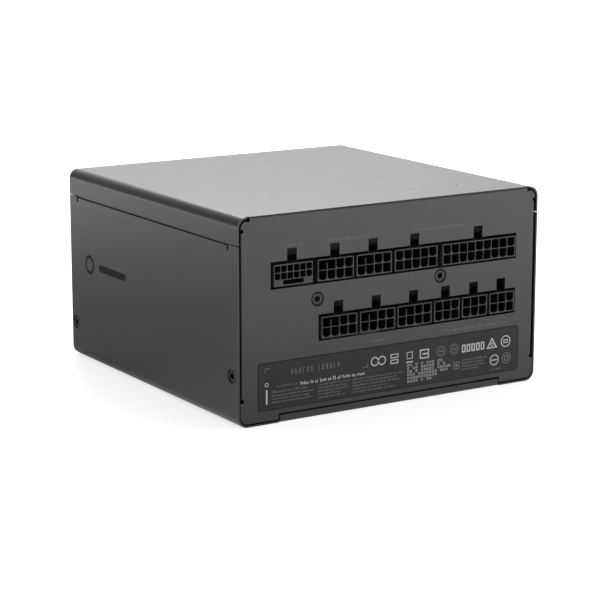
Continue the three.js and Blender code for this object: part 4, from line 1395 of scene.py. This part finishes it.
def fan_guard():
    """Wire rings welded to four arms, with a pressed plate in the middle and an ear at each end."""
    mesh = bmesh.new()
    for radius in GUARD_RINGS:
        add_turned(mesh, arc(radius, GUARD_MIDDLE, GUARD_WIRE, 0, 360, 10), FINE_SIDES)
    plate = [(0, 0.15), (24.5, 0.15), (25.6, 0.4), (25.6, 0.8), (24.5, 1.05), (0, 1.05)]
    add_turned(mesh, plate, FINE_SIDES)
    ear = [(3.15, 1.1), (4.75, 1.1), (4.9, 0.95), (4.9, 0.25), (4.75, 0.1), (4.15, 0.1)]
    ear.append(ear[0])
    arm_wire = circle(0, GUARD_MIDDLE + 0.3, GUARD_WIRE * 0.9, 10)
    reach = CORNER_REACH - FAN_SCREW_HOLE - 1.2
    for i in range(4):
        turn = Matrix.Rotation(math.radians(45 + 90 * i), 4, "Z")
        for offset in (-2.4, 2.4):
            rows = []
            for x in (24, 40, 56, 70, reach):
                spread = offset * (1 if x < 60 else 1.25)
                rows.append([turn @ Vector((x, spread + a, b)) for a, b in arm_wire])
            add_strip(mesh, rows, closed=True)
        ear_at = turn @ Vector((CORNER_REACH, 0, 0))
        add_turned(mesh, ear, ROUND_SIDES, Matrix.Translation(ear_at))
    finished_piece(
        "guard_wires", mesh, [GUARD_METAL], "guard_wire", ["fan_guard"], 0, FINE_MERGE
    )


def fan_frame():
    """Two rounded flanges on a smooth duct, with four curved struts to the motor's base."""
    mesh = bmesh.new()
    low, high = FAN_FRAME_LOW.z, FAN_FRAME_HIGH.z
    half = FAN_FRAME_HIGH.x
    flange = 3.5
    bore = circle(0, 0, FAN_BORE, FINE_SIDES)
    holes = [circle(x, y, 2.2, 20) for x, y in FAN_CORNERS]
    outline = rounded_rectangle(-half, half, -half, half, 6, 6)
    for bottom in (low, high - flange):
        add_prism(mesh, plane_xy, outline, bottom, bottom + flange, [bore, *holes])
    duct = [(FAN_BORE, low), (69.6, low), (69.6, high), (FAN_BORE, high), (FAN_BORE, low)]
    add_turned(mesh, duct, FINE_SIDES)
    base_low = high - 3
    section = rounded_rectangle(-1.9, 1.9, base_low, high, 0.5, 2)
    for i in range(4):
        rows = []
        for x in (19, 30, 42, 55, 67.5):
            turn = Matrix.Rotation(math.radians(20 + 90 * i + (x - 19) * 0.35), 4, "Z")
            rows.append([turn @ Vector((x, v, z)) for v, z in section])
        add_capped(mesh, rows)
    base = [(0, base_low), (20.5, base_low), (21, base_low + 0.5), (21, high), (0, high)]
    add_turned(mesh, base, FINE_SIDES)
    top = base_low + 0.5
    post_low = low + 6.5
    post = [(3.2, post_low), (4.6, post_low), (4.6, top), (3.2, top), (3.2, post_low)]
    add_turned(mesh, post, ROUND_SIDES)
    finished_piece("fan_housing", mesh, [FAN_PLASTIC], "fan_plastic", ["fan_frame"], 0.3)


def blade_row(along, base):
    """The aerofoil at one place from the hub (0) to the tip (1)."""
    root, tip = HUB_RADIUS - 0.6, FAN_BORE - 1.3
    radius = root + (tip - root) * along
    pitch = math.radians(50 - 24 * along)
    chord = 20 + 13 * along
    row = []
    for j in range(2 * BLADE_CHORDS):
        share = j / BLADE_CHORDS if j <= BLADE_CHORDS else 2 - j / BLADE_CHORDS
        upper = 1 if j <= BLADE_CHORDS else -1
        run = (share - 0.5) * chord
        camber = 2.4 * (1 - (2 * share - 1) ** 2)
        thick = 0.8 * math.sin(math.pi * min(1, share * 0.9 + 0.08)) ** 0.6 + 0.12
        lift = camber + upper * thick
        around = lift * math.sin(pitch) - run * math.cos(pitch)
        height = base + lift * math.cos(pitch) + run * math.sin(pitch)
        angle = around / radius + 0.32 * along * along
        row.append(Vector((radius * math.cos(angle), radius * math.sin(angle), height)))
    return row


def fan_rotor():
    """The hub's cup with its blades, swept forward, steep at the hub and flatter at their tips."""
    mesh = bmesh.new()
    low, high = FAN_FRAME_LOW.z + 2, FAN_FRAME_LOW.z + 19
    cup = [
        (0, low + 0.5),
        (14, low + 0.5),
        (14.4, low),
        (HUB_RADIUS - 1.6, low),
        (HUB_RADIUS - 0.5, low + 0.4),
        (HUB_RADIUS, low + 1.6),
        (HUB_RADIUS, high),
        (HUB_RADIUS - 1.8, high),
        (HUB_RADIUS - 1.8, low + 1.8),
        (3, low + 1.8),
        (3, low + 3.5),
        (0, low + 3.5),
    ]
    add_turned(mesh, cup, FINE_SIDES)
    blade = [blade_row(i / BLADE_SPANS, FAN_FRAME_LOW.z + 10) for i in range(BLADE_SPANS + 1)]
    for i in range(BLADES):
        turn = Matrix.Rotation(2 * math.pi * i / BLADES, 4, "Z")
        add_capped(mesh, [[turn @ point for point in row] for row in blade])
    materials, replaced = [FAN_PLASTIC], ["fan_rotor"]
    finished_piece(
        "rotor_blades", mesh, materials, "fan_plastic", replaced, 0, FINE_MERGE, "fan_spinner"
    )


# ------------------------------------------------------------------ mains inlet and switch

INLET_PINS = ["inlet_pin_live", "inlet_pin_neutral", "inlet_pin_earth"]
SEAT_Y = HALF_DEPTH + 0.1


def inlet_body():
    """A flange with two countersunk ears around a deep mouth with two cut corners."""
    mesh = bmesh.new()
    face, back = INLET_HIGH.y, INLET_LOW.y
    depth = face - 17
    mouth = [(-12.1, -8.1), (12.1, -8.1), (12.1, 3.6), (7.6, 8.1), (-7.6, 8.1), (-12.1, 3.6)]
    mouth = [(INLET_X + u, INLET_Z + v) for u, v in mouth]
    lead_in = inset(mouth, -0.7)
    flange = rounded_rectangle(INLET_LOW.x, INLET_HIGH.x, INLET_LOW.z, INLET_HIGH.z, 4, 8)
    shoulder = inset(flange, 0.5)
    ears = [(INLET_X + side * INLET_SCREW_X, INLET_Z) for side in (-1, 1)]
    wide = [circle(*ear, 2.95) for ear in ears]
    narrow = [circle(*ear, 1.5) for ear in ears]
    for mouth_ring, bore in zip(wide, narrow):
        add_sides(mesh, plane_xz, [(mouth_ring, face), (bore, face - 1.45), (bore, SEAT_Y)])
    add_plate(mesh, plane_xz(face), shoulder, [lead_in, *wide])
    add_sides(mesh, plane_xz, [(shoulder, face), (flange, face - 0.5), (flange, SEAT_Y)])
    body = rounded_rectangle(*centred(INLET_X, INLET_Z, 13.8, 9.8), 1.5, 4)
    add_plate(mesh, plane_xz(SEAT_Y), flange, [body, *narrow])
    add_sides(mesh, plane_xz, [(body, SEAT_Y), (body, back)])
    add_plate(mesh, plane_xz(back), body)
    add_sides(mesh, plane_xz, [(lead_in, face), (mouth, face - 0.9), (mouth, depth)])
    add_plate(mesh, plane_xz(depth), mouth)
    finished_piece("inlet_moulding", mesh, [DARK_PLASTIC], "inlet_plastic", ["ac_inlet"], 0.2)


def inlet_pins():
    """Flat mains blades with chamfered tips."""
    chamfer = 0.55
    for name in INLET_PINS:
        low, high = box_mm(name)
        mesh = bmesh.new()
        blade = rounded_rectangle(low.x, high.x, low.z, high.z, 0.25, 3)
        sides = (low.x + chamfer, high.x - chamfer, low.z + chamfer, high.z - chamfer)
        tip = rounded_rectangle(*sides, 0.15, 3)
        add_stepped(mesh, plane_xz, [(blade, low.y), (blade, high.y - 1.4), (tip, high.y)])
        finished_piece(f"{name}_blade", mesh, [PIN_METAL], "pin_metal", [name], 0.1, angle=35)


def switch_housing():
    """A snap-in bezel around the rocker's well."""
    mesh = bmesh.new()
    face, back = SWITCH_HIGH.y, SWITCH_LOW.y
    floor = face - 14.8
    bezel = rounded_rectangle(SWITCH_LOW.x, SWITCH_HIGH.x, SWITCH_LOW.z, SWITCH_HIGH.z, 1.4, 6)
    crest = inset(bezel, 0.6)
    well = rounded_rectangle(*centred(SWITCH_X, SWITCH_Z, 5.6, 8.5), 0.5, 3)
    brim = inset(well, -0.3)
    box = rectangle(*centred(SWITCH_X, SWITCH_Z, 6.7, 9.6))
    add_plate(mesh, plane_xz(face), crest, [brim])
    add_sides(mesh, plane_xz, [(crest, face), (bezel, face - 0.6), (bezel, SEAT_Y)])
    add_plate(mesh, plane_xz(SEAT_Y), bezel, [box])
    add_sides(mesh, plane_xz, [(box, SEAT_Y), (box, back)])
    add_plate(mesh, plane_xz(back), box)
    add_sides(mesh, plane_xz, [(brim, face), (well, face - 0.4), (well, floor)])
    add_plate(mesh, plane_xz(floor), well)
    finished_piece("switch_bezel", mesh, [DARK_PLASTIC], "inlet_plastic", ["switch_housing"], 0.1)


def rocker_turn():
    """From the rocker's own frame, level about its pivot, to its place at rest."""
    joint = next(j for j in frame["joints"] if j["name"] == "switch_rock")
    pivot = Vector(joint["pos_m"]) / MM
    return Matrix.Translation(pivot) @ Matrix.Rotation(math.radians(-10), 4, "X")


def rocker_face(height):
    """Places flat marks that far above the rocker's two sloping faces."""
    return lambda u, v: (u, 3.6 + abs(v) * 0.1 + height, v)


def switch_rocker():
    """The rocker's cap: two hollowed faces that meet in a shallow valley."""
    mesh = bmesh.new()
    upper = [(4.6, 7.2), (4.05, 5.2), (3.6, 2.6), (3.4, 0)]
    face = upper + [(y, -z) for y, z in reversed(upper[:-1])]
    section = face + [(1.5, -7.6), (-3, -3.5), (-3, 3.5), (1.5, 7.6)]
    add_prism(mesh, plane_yz, section, -5.2, 5.2)
    bmesh.ops.transform(mesh, matrix=rocker_turn(), verts=mesh.verts)
    clean(mesh)
    materials, replaced = [ROCKER_PLASTIC], ["switch_rocker"]
    piece = mesh_piece("rocker_cap", mesh, materials, replaced, "rocker")
    soften(piece, 0.35, angle=25, segments=3)


def rocker_marks():
    """The bar and ring for on and off, printed on the rocker."""
    mesh = bmesh.new()
    on_mark = rectangle(-0.35, 0.35, 3.2, 5.8)
    ring, hole = circle(0, -4.4, 1.5, 24), circle(0, -4.4, 0.95, 24)
    for outline, holes in ((on_mark, []), (ring, [hole])):
        add_prism(mesh, rocker_face, outline, -0.15, 0.12, holes)
    bmesh.ops.transform(mesh, matrix=rocker_turn(), verts=mesh.verts)
    clean(mesh, FINE_MERGE)
    mesh_piece("rocker_marks", mesh, [WHITE_INK], body="rocker")


# ------------------------------------------------------------------ what hangs inside


def dress_insides():
    """Gives every CAD node that stays in view the material of what it is made of."""
    finishes = {
        "fan_magnet_ring": sleeve("ferrite", (0.03, 0.03, 0.032), 0.6),
        "fan_stator": wound_copper(),
        "fan_bearing": metal("bearing_brass", (0.72, 0.52, 0.24), 0.3),
        "fan_shaft": metal("shaft_steel", (0.6, 0.6, 0.62), 0.2),
        "modular_board": circuit_board("black_solder_mask", (0.008, 0.008, 0.009), grey(0.016)),
        "main_board": circuit_board("green_solder_mask", (0.012, 0.05, 0.022), (0.02, 0.1, 0.04)),
        "insulation_sheet": sleeve("polyester_sheet", (0.05, 0.05, 0.055), 0.4),
        "bulk_capacitor": sleeve("capacitor_sleeve", (0.012, 0.014, 0.03)),
        "main_transformer": sleeve("transformer_tape", (0.45, 0.3, 0.03), 0.3),
        "x_capacitor": sleeve("yellow_resin", (0.5, 0.36, 0.05), 0.4),
        "bridge_rectifier": sleeve("black_resin", (0.02, 0.02, 0.022), 0.45),
        "primary_heatsink": metal("anodised_plate", (0.5, 0.5, 0.52), 0.35, (1, 30, 30)),
        "bus_bar_positive": metal("bus_bar_copper", (0.75, 0.36, 0.2), 0.3, (1, 1, 12)),
    }
    shared = {
        "main_board": ["converter_board"],
        "bulk_capacitor": ["output_capacitor_1", "output_capacitor_2"],
        "main_transformer": ["standby_transformer"],
        "fan_stator": ["pfc_choke", "common_mode_choke"],
        "primary_heatsink": ["secondary_heatsink"],
        "fan_bearing": [f"board_standoff_{i + 1}" for i in range(4)],
        "bus_bar_positive": ["bus_bar_ground"],
    }
    for like, nodes in shared.items():
        for node in nodes:
            finishes[node] = finishes[like]
    for node, material in finishes.items():
        frame["nodes"][node].data.materials.clear()
        frame["nodes"][node].data.materials.append(material)


# ------------------------------------------------------------------ studio

FLOOR_RADIUS = 9000
# The floor glows though it is no lamp. Seen by the camera, its glow is weaker near the object, a painted shadow
# round it; the glow that lights the object is weak near the shade spot, painted shade on the object's lower faces.
NEAR_SEEN, FAR_SEEN = 0.66, 1.1
SHADE_SPOT = (-0.12, 0.16, 0)
NEAR_CAST, FAR_CAST = 0.24, 2.6
CEILING = 0.32
BACK_WALL = 1.62
LEFT_WALL = 0.3
BACKDROP = 1.05
KEY_AT = Vector((0.22, 0.45, 0.55))
KEY_AIM = Vector((0, 0, 0.06))
KEY_SIZE = 0.35
KEY_POWER = 2.1
CAMERA_AT = Vector((-0.47882, -0.76478, 0.22862))
CAMERA_AIM = Vector((0.0012, 0, 0.03035))
CAMERA_LENS = 124.09


def glowing_floor():
    """A round floor that glows, though it is no lamp, with painted shadow and shade. The camera sees a glow that
    is weaker near the object; what lights the object and is reflected in it is a glow that is weak near a spot
    beside it, over a darker floor colour.
    """
    white = Look("studio_glowing_floor", grey(0.3), 0.7)
    white.grain(6, 2, 0.02)
    white.shader.inputs["Emission Color"].default_value = (1, 1, 1, 1)

    def glow_around(centre, near, far, start, end):
        distance = white.node("ShaderNodeVectorMath", operation="DISTANCE")
        white.link(white.place, distance.inputs[0])
        distance.inputs[1].default_value = centre
        return white.ranged(distance.outputs["Value"], near, far, start, end)

    seen = glow_around((0, 0, 0), NEAR_SEEN, FAR_SEEN, 0.1, 0.5)
    cast = glow_around(SHADE_SPOT, NEAR_CAST, FAR_CAST, 0.1, 0.84)
    path = white.node("ShaderNodeLightPath")
    # Pale to the camera, darker to all other rays: painted shade on the object's lower faces and edges.
    white.tint(path.outputs["Is Camera Ray"], grey(0.86))
    glow = white.node("ShaderNodeMix", data_type="FLOAT")
    white.link(path.outputs["Is Camera Ray"], glow.inputs[0])
    white.link(cast, glow.inputs[2])
    white.link(seen, glow.inputs[3])
    white.link(glow.outputs[0], white.shader.inputs["Emission Strength"])
    mesh = bmesh.new()
    add_plate(mesh, plane_xy(0), circle(0, 0, FLOOR_RADIUS, 64))
    scene_mesh("studio_floor", mesh, [white.material])


def studio_light():
    """White walls, brightest behind the object and dim to its left, under a dim ceiling."""
    world = bpy.data.worlds.new("studio_world")
    world.use_nodes = True
    bpy.context.scene.world = world
    nodes, links = world.node_tree.nodes, world.node_tree.links
    walls = nodes["Background"]
    walls.inputs["Color"].default_value = (1, 1, 1, 1)
    direction = nodes.new("ShaderNodeTexCoord").outputs["Generated"]

    def toward(aim, high, start, end):
        """A level that goes from 1 to high as the direction turns toward the aim."""
        likeness = nodes.new("ShaderNodeVectorMath")
        likeness.operation = "DOT_PRODUCT"
        likeness.inputs[1].default_value = Vector(aim).normalized()
        links.new(direction, likeness.inputs[0])
        level = nodes.new("ShaderNodeMapRange")
        level.interpolation_type = "SMOOTHSTEP"
        level.inputs["From Min"].default_value = start
        level.inputs["From Max"].default_value = end
        level.inputs["To Min"].default_value = 1
        level.inputs["To Max"].default_value = high
        links.new(likeness.outputs["Value"], level.inputs["Value"])
        return level.outputs["Result"]

    def times(first, second):
        node = nodes.new("ShaderNodeMath")
        node.operation = "MULTIPLY"
        links.new(first, node.inputs[0])
        links.new(second, node.inputs[1])
        return node.outputs["Value"]

    ceiling = toward((0, 0, 1), CEILING, 0.5, 0.92)
    back = toward((0.53, 0.85, 0.1), BACK_WALL, 0.6, 0.95)
    left = toward((-0.8, 0.6, 0), LEFT_WALL, 0.2, 0.9)
    links.new(times(times(ceiling, back), left), walls.inputs["Strength"])

    seen = nodes.new("ShaderNodeBackground")
    seen.inputs["Color"].default_value = (1, 1, 1, 1)
    seen.inputs["Strength"].default_value = BACKDROP
    path = nodes.new("ShaderNodeLightPath")
    mix = nodes.new("ShaderNodeMixShader")
    links.new(path.outputs["Is Camera Ray"], mix.inputs["Fac"])
    links.new(walls.outputs["Background"], mix.inputs[1])
    links.new(seen.outputs["Background"], mix.inputs[2])
    links.new(mix.outputs["Shader"], nodes["World Output"].inputs["Surface"])


def placed(name, data, at, aim):
    """Puts a light or a camera into the scene, turned towards a point."""
    made = bpy.data.objects.new(name, data)
    made.location = at
    made.rotation_euler = (aim - at).to_track_quat("-Z", "Y").to_euler()
    bpy.context.scene.collection.objects.link(made)
    return made


def key_light():
    """A softbox behind and above the object, for the sheen on its top."""
    light = bpy.data.lights.new("softbox", "AREA")
    light.shape = "RECTANGLE"
    light.size = KEY_SIZE
    light.size_y = KEY_SIZE
    light.energy = KEY_POWER
    placed("softbox", light, KEY_AT, KEY_AIM)


def camera():
    data = bpy.data.cameras.new("camera")
    data.lens = CAMERA_LENS
    data.sensor_width = 36
    data.clip_start = 0.01
    data.clip_end = 30
    bpy.context.scene.camera = placed("camera", data, CAMERA_AT, CAMERA_AIM)


upper_shell()
lower_shell()
all_screws()
all_sockets()
rating_label()
label_print()
port_captions()
side_mark()
fan_guard()
fan_frame()
fan_rotor()
inlet_body()
inlet_pins()
switch_housing()
switch_rocker()
rocker_marks()
dress_insides()
glowing_floor()
studio_light()
key_light()
camera()
bpy.context.scene.view_settings.view_transform = "Standard"
